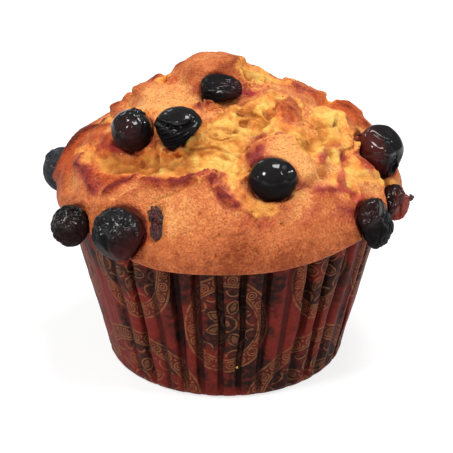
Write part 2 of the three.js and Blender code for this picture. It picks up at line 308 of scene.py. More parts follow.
cakeForm = {
    "columns": 540,
    "rows": 160,
    "crowding": 0.3,            # how much finer the columns are at the front
    "centre": (0.6, 1.0, 36.0),
    "reach": 34.9,
    "rise": 23.2,
    "roundness": 1.68,
    "swell": 0.7,
    "footRadius": 21.6,
    "footHeights": (0.8, 3.4, 18),
    "lipLowest": 33.3,
    "lipLift": 2.9,
    "lipLowAzimuth": -10,
    "lipSpread": (12, 42, 75),  # where it starts to rise, and ends on the left and right
    "lipWaver": (0.12, 5, 1),   # height, count and start of the waves along it
    "lipRound": 1.2,
    "lipBends": (84, 7),        # how far it curls, and its rows
    "lipInset": 1.5,
    "hemInset": 2.3,
    "hemLift": 0.35,
    "warp": (1.2, 0.8),         # how far noise bends the outlines of lobes and seams
    "waver": 0.35,
    "apronSwell": 1.1,
    "tornEdge": 0.5,
    "evenTear": 2.5,            # half-width from which a torn edge is even
    "rind": (-0.35, 0.55),      # distances past a torn edge where crust starts and is whole
    "settled": 0.55,            # how far the fine relief is sunk, so that the outline holds
    "clots": (0.9, 0.7, 0.42),  # heights of broad, rounded and fine clots of crumb
    "waves": (0.16, 0.075, 0.8),  # heights of the crust's broad and fine waves, and its lumps
    "craggy": (13, 30),         # elevations between which the crust turns craggy
    "crackle": (5.6, 0.08, 9),  # cell of its torn places, how narrow they are, how sharp
    "fissure": 0.28,
    "prick": 0.28,
    "pores": {                  # cell, seed, least radius, spread, and how rare large ones are
        "large": (3.4, 35, 0.1, 0.8, 8), "small": (1.3, 41, 0.1, 0.26, 4),
        "prick": (1.9, 61, 0.12, 0.2, 3)},
    "toast": (0.28, 0.5),       # how brown the crust is, and how much browner its lip is, partly from baking and partly as painted shade on the lower apron
    "socket": (0.9, 0.3),       # how deep it dips round a berry, and how high the ring outside is
    "lobes": [                  # azimuth, elevation, radius, height, softness
        (-148, 78, 10.6, 5.3, 0.7), (-143, 56, 8.5, 2, 0.6), (-125, 43, 5.3, 2.3, 0.4),
        (-120, 30, 5, 1.6, 0.4), (114, 28, 4.5, 2.1, 0.4), (-102, 8, 9.5, 2, 0.5),
        (-95, 58, 8, 2.2, 0.6), (-74, 25, 10, 2.1, 0.5), (-70, 43, 7.5, 1.6, 0.6),
        (-55, 12, 9, 1.6, 0.6), (-35, 52, 8.5, 1.2, 0.8), (30, 37, 11, 2.6, 0.6),
        (48, 60, 8, 2, 0.6), (60, 13, 9.5, 1.7, 0.55), (74, 36, 9, 1.8, 0.6),
        (81, 11, 4.6, 1.7, 0.4), (97, 5, 9, 0.6, 0.6), (108, 23, 8, 1.9, 0.5),
        (127, 40, 7, 0.8, 0.5), (158, 18, 12, 1.8, 0.6), (165, 60, 8, 2, 0.7),
        (-175, 42, 8, 1.2, 0.6), (-160, 22, 13, 2.2, 0.6)],
    "apronEdge": [              # azimuth and elevation of the smooth apron's upper edge
        (-180, 20), (-150, 26), (-120, 18), (-95, 20), (-70, 8), (-43, 15), (-41, 19), (-33, 25),
        (-25, 25), (-17, 29), (-8, 32), (-5, 28), (0, 22), (8, 18), (20, 19), (29, 21), (38, 18),
        (43, 15), (70, 8), (95, 18), (125, 14), (150, 22), (180, 20)],
    # each stroke gives two values, or one, and then the azimuth and elevation of each point
    "seams": [                  # width, depth
        (2.4, 1.5, (50, 66), (30, 58), (20, 53), (7, 46), (-9, 37)),
        (2.2, 1.3, (-66, 23), (-54, 26), (-39, 30), (-24, 33), (-9, 35)),
        (1.4, 1, (15, 46), (9, 38), (12, 30), (20, 25), (27, 21), (44, 23)),
        (1.3, 1.3, (46, 36), (41, 31), (41, 26), (46, 21)),
        (1.4, 0.9, (-90, 14), (-76, 15), (-66, 19)),
        (1.5, 1.1, (-125, 27), (-113, 34), (-98, 37), (-84, 35), (-66, 34)),
        (1.6, 0.9, (60, 52), (64, 44), (58, 30), (56, 22)),
        (1.4, 0.9, (-130, 24), (-116, 23), (-106, 24)),
        (1.8, 1.3, (88, 47), (102, 38), (118, 31), (130, 20)),
        (2, 1.3, (70, 80), (125, 75), (170, 71)), (1.6, 1, (155, 48), (145, 32), (128, 18)),
        (1.6, 1, (-170, 52), (-150, 38), (-128, 22)), (1.5, 0.9, (175, 33), (190, 14))],
    "tears": [                  # where crumb shows: half-width
        (2.6, (-60, 24), (-52, 27), (-44, 29), (-31, 31), (-20, 33), (-8, 36), (3, 34)),
        (3, (-20, 42), (-10, 47), (-3, 53), (9, 59)),
        (3.4, (-6, 42), (5, 47), (12, 54), (26, 58)), (2.4, (26, 58), (48, 64), (70, 64)),
        (2.2, (0, 36), (6, 42), (14, 47), (26, 49)),
        (3, (80, 42), (68, 40), (62, 35), (58, 30), (50, 34), (44, 38)),
        (1.2, (30, 48), (38, 44), (46, 40)), (0.9, (1, 27), (4, 22), (9, 18), (15, 17)),
        (2, (54, 29), (58, 23), (62, 18), (72, 10)), (1.2, (49, 21), (50, 15)),
        (0.8, (-80, 19), (-72, 24)), (1.2, (-70, 21), (-62, 23)),
        (2, (95, 82), (125, 70), (140, 63), (125, 56)), (1.7, (112, 36), (120, 31), (128, 21)),
        (1.6, (155, 47), (146, 33), (130, 20)), (2.2, (-168, 51), (-152, 38), (-132, 24)),
        (1.6, (174, 34), (186, 22)), (1.1, (-103, 37), (-94, 37), (-86, 36)),
        (0.8, (-98, 61), (-107, 58))],
    "flaps": [                  # torn lips that stand up: half-width, height
        (0.8, 1.1, (-49, 15), (-46, 20), (-41, 23), (-30, 24), (-20, 25), (-14, 28), (-8, 32),
         (-3, 30)), (0.8, 0.8, (-7, 30), (-4, 25), (-1, 21), (4, 19)),
        (0.8, 0.9, (-76, 15), (-71, 18), (-60, 16), (-54, 14)),
        (1.1, 0.8, (22, 47), (15, 43), (11, 38), (12, 33)),
        (0.7, 0.8, (28, 22), (36, 19), (47, 17)), (0.7, 0.9, (44, 29), (51, 31), (58, 32)),
        (0.7, 0.8, (57, 26), (53, 23), (50, 20), (49, 16)),
        (0.8, 0.9, (-94, 13), (-98, 19), (-100, 27), (-90, 33)),
        (1, 0.7, (45, 31), (50, 33), (58, 31), (60, 24)),
        (1.2, 0.7, (30, 62), (40, 60), (50, 56)), (1.2, 0.6, (84, 38), (92, 33), (96, 24)),
        (0.8, 0.8, (-40, 62), (-28, 65), (-14, 66)), (0.8, 1, (134, 16), (146, 28), (152, 40)),
        (0.8, 1, (-128, 20), (-146, 33), (-160, 44)),
        (0.7, 0.8, (178, 20), (-172, 30), (170, 36))],
    "cracks": [                 # narrow clefts: half-width, depth
        (0.6, 1.5, (60, 65), (52, 64), (45, 60), (35, 57), (28, 55), (17, 51)),
        (0.42, 0.6, (-66, 24), (-61, 27), (-56, 26), (-50, 28), (-44, 29), (-39, 31)),
        (0.36, 0.55, (-36, 31), (-30, 33), (-25, 34), (-20, 33), (-14, 35)),
        (0.36, 0.45, (-25, 41), (-20, 40), (-16, 41), (-8, 43), (1, 41), (6, 39)),
        (0.36, 0.5, (-16, 57), (-10, 54), (-4, 55), (4, 53)),
        (0.36, 0.4, (-12, 48), (-4, 47), (4, 49)),
        (0.36, 0.55, (45, 41), (48, 37), (55, 34), (60, 36)),
        (0.36, 0.5, (64, 42), (70, 38), (78, 38)), (0.36, 0.4, (57, 24), (62, 28), (68, 27)),
        (0.4, 0.8, (151, 43), (143, 35), (138, 26)),
        (0.4, 0.8, (-162, 46), (-149, 37), (-141, 30)),
        (0.4, 0.7, (116, 68), (128, 65), (138, 60)),
        (0.22, 0.35, (-30, 15), (-26, 19), (-20, 22), (-16, 25), (-11, 27)),
        (0.2, 0.3, (-5, 25), (0, 22), (6, 19), (12, 16)),
        (0.18, 0.25, (-16, 9), (-11, 11), (-6, 8), (2, 9)),
        (0.18, 0.22, (20, 13), (27, 10), (35, 11)),
        (1.3, 0.8, (-25.6, 14.5), (-24.4, 11), (-24, 7.5)),
        (0.2, 0.3, (-49, 8), (-46, 12), (-47, 16)), (0.2, 0.3, (104, 14), (116, 12), (126, 15)),
        (0.2, 0.3, (-168, 12), (-176, 9), (172, 12)),
        (0.2, 0.3, (-128, 12), (-120, 8), (-112, 10))],
    "scorched": [               # dark toasted rims: half-width, share
        (1, 0.45, (-109, 17), (-104, 16), (-99, 11), (-95, 6)),
        (1.4, 0.25, (99, 24), (106, 30), (113, 34), (121, 38), (130, 44)),
        (1.2, 0.5, (-150, 56), (-134, 60), (-120, 66)), (1, 0.4, (140, 30), (152, 24), (164, 24))],
    "stains": [                 # purple juice: half-width, share
        (0.75, 1, (-49, 16), (-46, 20), (-41, 24), (-34, 25), (-26, 25), (-19, 26), (-14, 29),
         (-8, 32), (-3, 30)), (1.3, 0.9, (-8, 31), (-5, 26), (-2, 22), (3, 20)),
        (1.6, 0.9, (-73, 18), (-63, 17), (-55, 15)), (1.5, 0.9, (-69, 36), (-61, 33), (-54, 31)),
        (1.3, 1, (-75, 27), (-66, 28), (-58, 30)), (0.6, 0.8, (-52, 41), (-48, 42)),
        (1.5, 1, (18, 46), (13, 40), (13, 34)), (0.9, 0.9, (28, 24), (36, 20), (46, 17)),
        (1.2, 0.5, (0, 18), (5, 14), (9, 12), (13, 14)),
        (1.1, 0.5, (25, 12), (31, 14), (38, 11), (46, 7)), (1.1, 0.9, (42, 12), (47, 9)),
        (0.9, 0.9, (-126, 47), (-116, 50)), (0.8, 0.6, (-104, 60), (-96, 62)),
        (1.3, 0.4, (-92, 66), (-80, 65)), (0.8, 0.5, (-66, 69), (-48, 73)),
        (1.3, 1, (20, 77), (40, 77), (56, 78)), (0.9, 0.7, (-34, 64), (-14, 64)),
        (1.1, 0.4, (115, 74), (90, 71)), (1.1, 0.5, (41, 54), (43, 48)),
        (1.6, 0.8, (121, 54), (118, 45)), (1.2, 0.8, (65, 24), (66, 17)),
        (0.7, 1, (45, 30), (57, 32), (62, 31), (61, 27)),
        (0.35, 0.8, (26, 45), (30, 46), (35, 45)), (0.7, 0.9, (108, 52), (118, 52), (126, 48)),
        (1.1, 0.8, (-96, 13), (-101, 17), (-108, 19)),
        (1.3, 0.8, (150, 24), (140, 12), (128, 10)),
        (1.2, 0.7, (-150, 25), (-138, 20), (-126, 19)),
        (1.4, 0.7, (-178, 30), (168, 20), (155, 20)), (1, 0.6, (176, 60), (150, 55))],
    "pinks": [                  # fresh pink juice: half-width, share
        (0.9, 1, (55, 24), (50, 21), (48, 17), (51, 15)), (0.8, 0.8, (-70, 27), (-61, 29)),
        (0.9, 1, (36, 79), (50, 78), (46, 75)), (1.1, 0.9, (49, 13), (57, 12)),
        (0.7, 0.7, (61, 31), (58, 24)), (1.4, 0.5, (-125, 30), (-120, 33))],
    # each patch gives azimuth, elevation, radius and share
    "intact": [                 # whole crust, with no crackle
        (-142, 77, 11, 1), (-125, 44, 9, 1), (-116, 34, 7, 1), (-74, 27, 6, 1), (32, 37, 9, 1),
        (98, 34, 8, 1), (118, 38, 7, 1), (112, 52, 7, 1), (48, 60, 6, 1), (-95, 58, 9, 1),
        (165, 60, 7, 1)],
    "ruddy": [                  # orange-red crust
        (-92, 14, 13, 1), (-80, 26, 6, 0.5), (-56, 27, 11, 0.7), (-32, 31, 9, 0.5),
        (-14, 45, 6.5, 0.7), (44, 54, 6, 0.45), (36, 58, 4, 0.4), (62, 20, 5, 0.5),
        (-30, 30, 5, 0.5), (-100, 62, 6, 0.4), (110, 16, 8, 0.4), (108, 32, 10, 0.8),
        (150, 40, 7, 0.5), (-160, 34, 8, 0.5)],
    "browningAndHighlight": [                # browner crust, or paler below 0; the pale patch at 56, 21 is a painted highlight
        (-94, 15, 15, 0.35), (-98, 34, 9, 0.5), (-142, 77, 13, 0.25), (100, 32, 9, 0.1),
        (35, 34, 11, -0.8), (-92, 49, 8, -0.3), (-64, 55, 10, -0.45), (-26, 15, 12, -0.15),
        (22, 18, 7, -0.25), (64, 52, 7, 0.15), (66, 12, 8, -0.2), (77, 11, 6, -0.4),
        # the paler patch (56, 21) is a painted highlight on folded crust
        (56, 21, 4, -0.6), (10, 0, 16, 0.15), (150, 12, 12, 0.3), (-150, 16, 12, 0.35),
        (175, 40, 10, -0.3)],
    "holes": [                  # single large pores: azimuth, elevation, radius, depth
        (15, 58, 1.1, 1.1), (7, 53, 0.7, 0.7), (-9, 50, 0.6, 0.5), (37, 60, 0.7, 1),
        (34, 56, 0.6, 0.9), (74, 38, 0.6, 0.8), (-40, 33, 0.8, 0.9), (-28, 36, 0.7, 0.8),
        (-47, 29, 0.6, 0.7), (18, 12, 0.6, 0.6), (-10, 16, 0.4, 0.4), (-4, 3, 0.35, 0.4),
        (10, 1, 0.35, 0.35), (-3, 10, 0.3, 0.3), (24, 3, 0.3, 0.3), (112, 34, 0.9, 0.9)],
}

# Each berry's seat is its azimuth, elevation, lift off the crust and turn, and size is its three
# half-widths. Then come its shape and its looks:
# square: 2 is an ellipsoid, more is boxier
# creases: depth, cell, stretch, the stretched direction, width, seed
# flats: direction, distance; cuts: width, depth, and azimuth and elevation of each point
# dents and dish: direction, width, depth; valleys: direction, offset, width, depth
# ribs: axis, count, depth, the side that has them; crown: direction; fading: where creases end
# red, bloom, matte, wet: amounts of red flesh, grey frost (on the scraps, painted glints),
# dullness and gloss; bleed: juice round it
berryForms = {
    "top": {
        "seat": (-15, 75, 1.3, -8), "size": (4.5, 3.5, 2.7), "square": 2.7, "folds": 0.06,
        "red": 0.5, "redSide": (1, -0.1, -0.2), "bloomAndGlint": 0.12, "matte": 0.75, "bleed": 0.6,
        "creases": [(0.05, 0.4, 3.5, (1, 0.1, -0.1), 0.4, 3),
                    (0.03, 0.2, 2.5, (1, 0.3, 0), 0.4, 8)],
        "flats": [((0.31, -0.41, -0.85), 0.66), ((-1, -0.1, 0.05), 0.9),
                  ((0.1, -0.35, 0.93), 0.84)],
        "cuts": [(0.08, 0.07, (-60, 30), (7, 35), (70, 18)),
                 (0.06, 0.06, (-40, 55), (30, 55), (76, 35)),
                 (0.06, 0.06, (-50, 5), (10, 12), (62, 2))]},
    "upper_left": {
        "seat": (-56, 39, 2, 0), "size": (4.5, 4.4, 4.2), "folds": 0.04,
        "crown": (0.35, 0.3, 0.9), "red": 0.4, "redSide": (-0.3, -0.8, -0.4), "wet": 0.1,
        "bloomAndGlint": 0.03, "bleed": 0.9,
        "creases": [(0.03, 0.34, 1.2, (0, 0, 1), 0.6, 5)],
        "dents": [((-0.2, -0.5, 0.8), 0.06, 0.04), ((0.5, -0.8, 0.3), 0.05, 0.04),
                  ((0.2, -0.7, 0.7), 0.03, 0.03)]},
    "upper_mid": {
        "seat": (-31, 47, 1.6, 8), "size": (5.3, 4.6, 3.4),
        "ribs": ((0.75, -0.48, 0.45), 28, 0.13, (-0.5, -0.75, -0.42)), "red": 0.1,
        "matte": 0.05, "bleed": 0.5,
        "creases": [(0.012, 0.3, 2, (0.9, -0.2, 0.3), 0.45, 14)],
        "flats": [((0.74, -0.29, -0.61), 0.6), ((-0.9, -0.15, -0.32), 0.82)],
        "cuts": [(0.12, 0.3, (-100, 20), (-43, 30), (-10, 28), (20, 32), (44, 40))]},
    "centre": {
        "seat": (17.8, 27, 1.4, -14), "size": (4.9, 4.4, 4.2),
        "dish": ((0.7, -0.4, 0.6), 0.46, 0.2), "red": 0, "bloomAndGlint": 0.12, "bleed": 0.6,
        "creases": [(0.008, 0.5, 1, (0, 0, 1), 0.6, 17)],
        "dents": [((-0.3, -0.6, 0.75), 0.16, 0.03), ((-0.6, -0.75, -0.2), 0.12, 0.06),
                  ((0.2, -0.8, -0.5), 0.2, 0.05)]},
    "right": {
        "seat": (79, 20, 2.2, 20), "size": (5.7, 5.4, 5), "folds": 0.04,
        "crown": (0.6, -0.6, -0.5), "red": 0.85, "redSide": (-0.95, -0.3, -0.1), "wet": 0.2,
        "bloomAndGlint": 0.03, "bleed": 0.9,
        "creases": [(0.02, 0.6, 1.6, (0.3, 0, 1), 0.4, 19)],
        "flats": [((0.15, -0.35, 0.92), 0.76), ((0.75, -0.6, -0.2), 0.84),
                  ((0.55, -0.5, 0.67), 0.84)],
        "cuts": [(0.08, 0.08, (-60, 66), (0, 62), (36, 50), (50, 20), (54, 0)),
                 (0.06, 0.06, (-3, 37), (31, 52)), (0.08, 0.06, (-40, 10), (0, 14), (40, 5))]},
    "right_low": {
        "seat": (51, 5, 2, 4), "size": (4.5, 5.6, 3.9), "folds": 0.08, "red": 0.4,
        "redSide": (-0.5, -0.1, 0.85), "bloomAndGlint": 0.08, "matte": 0.5, "bleed": 0.9,
        "creases": [(0.06, 0.5, 2, (0.2, 0, 1), 0.35, 23), (0.03, 0.24, 1.5, (0, 0, 1), 0.4, 27)],
        "flats": [((0.85, -0.2, 0.5), 0.66), ((-0.85, -0.3, -0.45), 0.72),
                  ((0.1, -0.97, -0.1), 0.8), ((0.5, -0.6, -0.6), 0.84),
                  ((-0.3, -0.5, 0.8), 0.84)],
        "cuts": [(0.12, 0.12, (-60, 20), (-20, 30), (20, 40), (60, 40)),
                 (0.1, 0.1, (20, 30), (25, 0), (15, -40)),
                 (0.08, 0.08, (-40, 0), (-10, -20), (0, -50))]},
    "right_burst": {
        "seat": (68, 4.6, 0.1, -12), "size": (3.5, 4.2, 3.3), "folds": 0.1, "red": 1.3,
        "redSide": (0.9, 0.1, -0.5), "wet": 0.5, "matte": 0.4, "bleed": 1,
        "creases": [(0.05, 0.5, 1.4, (0.2, 0, 1), 0.4, 31), (0.03, 0.2, 1, (0, 0, 1), 0.5, 33)],
        "flats": [((0.5, -0.85, 0.1), 0.8), ((0.75, 0.6, 0.2), 0.84), ((0.2, -0.2, -0.95), 0.84)],
        "cuts": [(0.13, 0.14, (24, 60), (32, 30), (35, 0), (30, -30)),
                 (0.07, 0.08, (60, 50), (75, 10), (70, -30))]},
    "left": {
        "seat": (-104, 1, -1, 0), "size": (4.5, 5, 4.4), "folds": 0.03,
        "crown": (-0.6, -0.3, 0.75), "red": 0.1, "bloomAndGlint": 0.45, "matte": 0.5, "bleed": 0.3,
        "creases": [(0.02, 0.35, 1.5, (0, 0, 1), 0.5, 37)]},
    "left_low": {
        "seat": (-56, 2.5, 1.8, 0), "size": (4.1, 4.4, 4.1), "folds": 0.06,
        "crown": (0.3, -0.3, 0.9), "red": 0.35, "redSide": (0.2, -0.9, -0.3), "bloomAndGlint": 0.15,
        "matte": 0.3, "bleed": 0.5,
        "creases": [(0.04, 0.36, 1.3, (0, 0, 1), 0.5, 41), (0.03, 0.17, 1, (0, 0, 1), 0.5, 43)]},
    "front_left": {
        "seat": (-36, 6, 1.4, 10), "size": (5.5, 5.4, 4.7), "square": 2.2, "folds": 0.04,
        "fading": (0, -0.2, -1), "red": 0.62, "redSide": (0.7, -0.3, -0.6), "bloomAndGlint": 0.2,
        "matte": 0.35, "bleed": 0.8,
        "creases": [(0.035, 0.3, 1.2, (0, 0, 1), 0.45, 47), (0.024, 0.14, 1, (0, 0, 1), 0.5, 49)],
        "flats": [((-0.1, -0.45, 0.89), 0.86), ((0.75, -0.4, -0.5), 0.88),
                  ((-0.6, -0.55, -0.6), 0.9)],
        "cuts": [(0.1, 0.07, (-60, 36), (-30, 10), (-28, -15)),
                 (0.08, 0.06, (0, 60), (20, 40), (50, 25))]},
    "back_left": {
        "seat": (-150, 8, 0.9, 25), "size": (5, 4.2, 3.9), "folds": 0.05, "red": 0.75,
        "redSide": (0.4, 0.7, -0.5), "wet": 0.4, "bloomAndGlint": 0.1, "matte": 0.25, "bleed": 0.9,
        "creases": [(0.05, 0.42, 2.4, (1, 0.2, 0), 0.4, 53)],
        "flats": [((-0.2, 0.6, 0.78), 0.78), ((-0.9, 0.4, 0.1), 0.86)],
        "cuts": [(0.11, 0.13, (-166, 62), (-152, 40), (-140, 14), (-134, -10))]},
    "back_mid": {
        "seat": (-177, 22, 1, -30), "size": (4.9, 4.2, 3.6), "square": 2.4, "folds": 0.06,
        "red": 0.2, "bloomAndGlint": 0.1, "matte": 0.3, "bleed": 0.8,
        "creases": [(0.05, 0.42, 3, (1, 0, 0), 0.4, 59), (0.03, 0.22, 2, (1, 0, 0), 0.4, 61)],
        "valleys": [((0.3, 0.5, 0.8), 0.35, 0.12, 0.18)]},
    "back_low": {
        "seat": (169, 5, 1, -14), "size": (4, 5, 3.7), "folds": 0.09, "red": 0.4, "bloomAndGlint": 0.08,
        "matte": 0.55, "bleed": 0.8,
        "creases": [(0.06, 0.45, 1.8, (0.2, 0, 1), 0.4, 67),
                    (0.03, 0.2, 1.4, (0, 0, 1), 0.4, 69)],
        "flats": [((0.5, 0.8, 0.3), 0.74), ((-0.6, 0.7, -0.3), 0.78), ((0.1, 0.5, -0.85), 0.84)],
        "cuts": [(0.1, 0.1, (150, 50), (164, 20), (160, -20))]},
    "back_right": {
        "seat": (141, 2, 1.3, 0), "size": (4.4, 4.4, 4.1), "folds": 0.02,
        "crown": (0.75, 0.6, 0.3), "red": 0.5, "bloomAndGlint": 0.35, "matte": 0.05, "bleed": 0.6,
        "creases": [(0.015, 0.4, 1, (0, 0, 1), 0.5, 71)],
        "dents": [((0.4, 0.8, 0.5), 0.1, 0.06)]},
}

scrapForms = {                  # a burst berry's skin in a slot of the crust, and a stalk end
    "slot_top": {"seat": (-25.9, 13.4, -0.4, 14), "size": (1.5, 1.9, 1.1)},
    "slot_mid": {"seat": (-24.6, 11, -0.6, -12), "size": (1.2, 2.3, 1.1)},
    "slot_low": {"seat": (-24.1, 8.6, -0.5, 6), "size": (1.4, 2, 1.1)},
    "stalk": {"seat": (71, 5.6, 3.1, 0), "size": (1.3, 0.55, 0.6)},
}

domeCentre = np.array(cakeForm["centre"])
cupWall = {"base": 24.75, "flare": 0.253, "height": 36.0, "cadWall": 0.5, "grooveBase": 0.5,
           "grooveRim": 2.5, "gap": 0.3,
           "rimClear": (1.3, 1.5)}      # gaps that the cake leaves above the rim and outside it


def ridgeRadius(height):
    return cupWall["base"] + cupWall["flare"] * height


def grooveDepth(height):
    deepening = (cupWall["grooveRim"] - cupWall["grooveBase"]) / cupWall["height"]
    return cupWall["grooveBase"] + deepening * height


def domePoint(azimuth, elevation):
    # smooth dome: a superellipse of revolution with an even swell, radians in
    across = np.abs(np.cos(elevation)) / cakeForm["reach"]
    upward = np.abs(np.sin(elevation)) / cakeForm["rise"]
    power = cakeForm["roundness"]
    radius = (across ** power + upward ** power) ** (-1 / power) + cakeForm["swell"]
    return domeCentre + outward(azimuth, elevation) * np.asarray(radius)[..., None]


def spotGap(points, turn, rise):
    # distance to one spot of the smooth dome, degrees in
    return np.linalg.norm(points - domePoint(turn * radian, rise * radian), axis=-1)


def strokeGap(points, path):
    # distance to a path drawn on the smooth dome, degrees in
    return pathGap(points, domePoint(*np.array(path, float).T * radian))


def strokes(points, name, stir, outer, inner):
    # the strongest of a list of strokes: none at one multiple of its half-width, full at another
    return np.max([share * smooth(width * outer, width * inner, strokeGap(points, path) + stir)
                   for width, share, *path in cakeForm[name]], 0)


def patches(points, name, stir, core):
    # each round patch of a list: none at its radius and full at a part of it
    return np.array([share * smooth(radius, radius * core, spotGap(points, turn, rise) + stir)
                     for turn, rise, radius, share in cakeForm[name]])


def crustHeight(points, azimuth, elevation):
    # The crust over the smooth dome: the cube root of the summed cubes of the lobes and the
    # apron, less a bell-shaped trough along each seam, with gentle waves of noise
    broad, fine = cakeForm["warp"]
    warp = broad * noise(points, 6.5, 3) + fine * noise(points, 3.1, 4)
    total = 0
    for turn, rise, radius, height, soft in cakeForm["lobes"]:
        inside = 1 - (spotGap(points, turn, rise) + warp) / radius
        total = total + (height * smooth(0, soft, inside)) ** 3
    turns, rises = np.array(cakeForm["apronEdge"]).T
    edge = np.interp(azimuth / radian, turns, rises)
    below = (edge * radian - elevation) * domeCentre[2] + 0.6 * warp
    brow = hump(below - 1.2, 1.8) * smooth(-1.2, 0.4, below)
    apron = cakeForm["apronSwell"] * smooth(-1.2, 1.2, below) + cakeForm["tornEdge"] * brow
    height = np.cbrt(total + apron ** 3)
    for width, depth, *path in cakeForm["seams"]:
        height = height - depth * hump(np.maximum(strokeGap(points, path) + 0.7 * warp, 0), width)
    rough = smooth(8 * radian, 30 * radian, elevation)
    waver = cakeForm["waver"]
    return height + waver * noise(points, 9, 1) + waver * rough * noise(points, 4.2, 2)


def crustPoint(azimuth, elevation):
    points = domePoint(azimuth, elevation)
    height = crustHeight(points, azimuth, elevation)
    return points + outward(azimuth, elevation) * height[..., None]


def berryAxes(form):
    # the berry's centre and its three axes: across, up and outwards from the dome
    azimuth, elevation, lift, turn = np.array(form["seat"]) * (radian, radian, 1, radian)
    out = outward(azimuth, elevation)
    level = np.array([np.cos(azimuth), np.sin(azimuth), 0])
    east = level * np.cos(turn) + np.cross(out, level) * np.sin(turn)
    centre = crustPoint(np.array([azimuth]), np.array([elevation]))[0] + out * lift
    return centre, np.array([east, np.cross(out, east), out])


def bareRadius(form, ray, world):
    # radius of a berry of size 1 before its wrinkles: a superellipsoid and its flat facets,
    # joined by the soft minimum -log(exp(-k a) + exp(-k b)) / k
    power = form.get("square", 2)
    scale = (np.abs(ray) ** power).sum(-1) ** (-1 / power)
    sharp = 24
    for towards, distance in form.get("flats", []):
        facet = np.minimum(distance / np.maximum(world @ unit(towards), 0.05), 4)
        scale = -np.log(np.exp(-sharp * scale) + np.exp(-sharp * facet)) / sharp
    return scale


def lipHeight(azimuth):
    # the lip's lower edge: lowest left of the front, higher round the sides, sooner on the left
    start, left, right = cakeForm["lipSpread"]
    waver, count, begin = cakeForm["lipWaver"]
    turn = azimuth / radian - cakeForm["lipLowAzimuth"]
    side = smooth(start, np.where(turn < 0, left, right), np.abs(turn))
    level = cakeForm["lipLowest"] + cakeForm["lipLift"] * side
    return level + waver * np.sin(azimuth * count + begin)


def cakeGrid():
    # Rows run from the middle of the cake's foot up inside the cup, out under the lip and over
    # the dome to its peak. Gives the grid, its hidden rows, its lip rows, the azimuth and
    # elevation of the others, and the crust's height.
    form = cakeForm
    turn = columnTurns(form["columns"])
    azimuth = turn - form["crowding"] * np.sin(turn)
    edge = lipHeight(azimuth)
    sine = (edge + form["lipRound"] - domeCentre[2]) / (form["reach"] + form["lipRound"])
    lowest = np.arcsin(sine)
    share = np.linspace(0, 1, form["rows"])[:, None]
    elevation = lowest + (np.pi / 2 - lowest) * share
    around = np.broadcast_to(azimuth, elevation.shape)
    smoothDome = domePoint(around, elevation)
    height = crustHeight(smoothDome, around, elevation)
    dome = smoothDome + outward(around, elevation) * height[..., None]

    hem = dome[0]
    hemRadius = np.hypot(hem[:, 0], hem[:, 1])
    hemTurn = np.arctan2(hem[:, 0], -hem[:, 1])
    above, outside = cupWall["rimClear"]
    groove = cupWall["height"] + above * cupWall["gap"]
    grooveRadius = ridgeRadius(cupWall["height"]) + outside * cupWall["gap"]

    def ring(radius, height):
        radius, height = np.broadcast_arrays(radius, height, azimuth)[:2]
        return np.stack([np.sin(hemTurn) * radius, -np.cos(hemTurn) * radius, height], -1)

    def filling(height):
        wall = cupWall["cadWall"] + grooveDepth(height) + cupWall["gap"]
        return ring(ridgeRadius(height) - wall, height)

    foot, heel, waist = form["footHeights"]
    stem = [ring(0, foot), ring(form["footRadius"], foot), filling(heel), filling(waist),
            filling(groove), ring(grooveRadius, groove)]
    lip = [ring(np.maximum(grooveRadius, hemRadius - form["hemInset"]), edge + form["hemLift"])]
    for bend in np.linspace(0, *form["lipBends"]) * radian:
        inset = form["lipInset"] * (1 - np.sin(bend))
        lip.append(ring(np.maximum(grooveRadius, hemRadius - inset),
                        edge + form["lipRound"] * (1 - np.cos(bend))))
    rise = np.concatenate([np.broadcast_to(lowest, (len(lip), len(azimuth))), elevation])
    grid = np.concatenate([np.array(stem + lip), dome])
    return grid, len(stem), len(lip), azimuth, rise, height


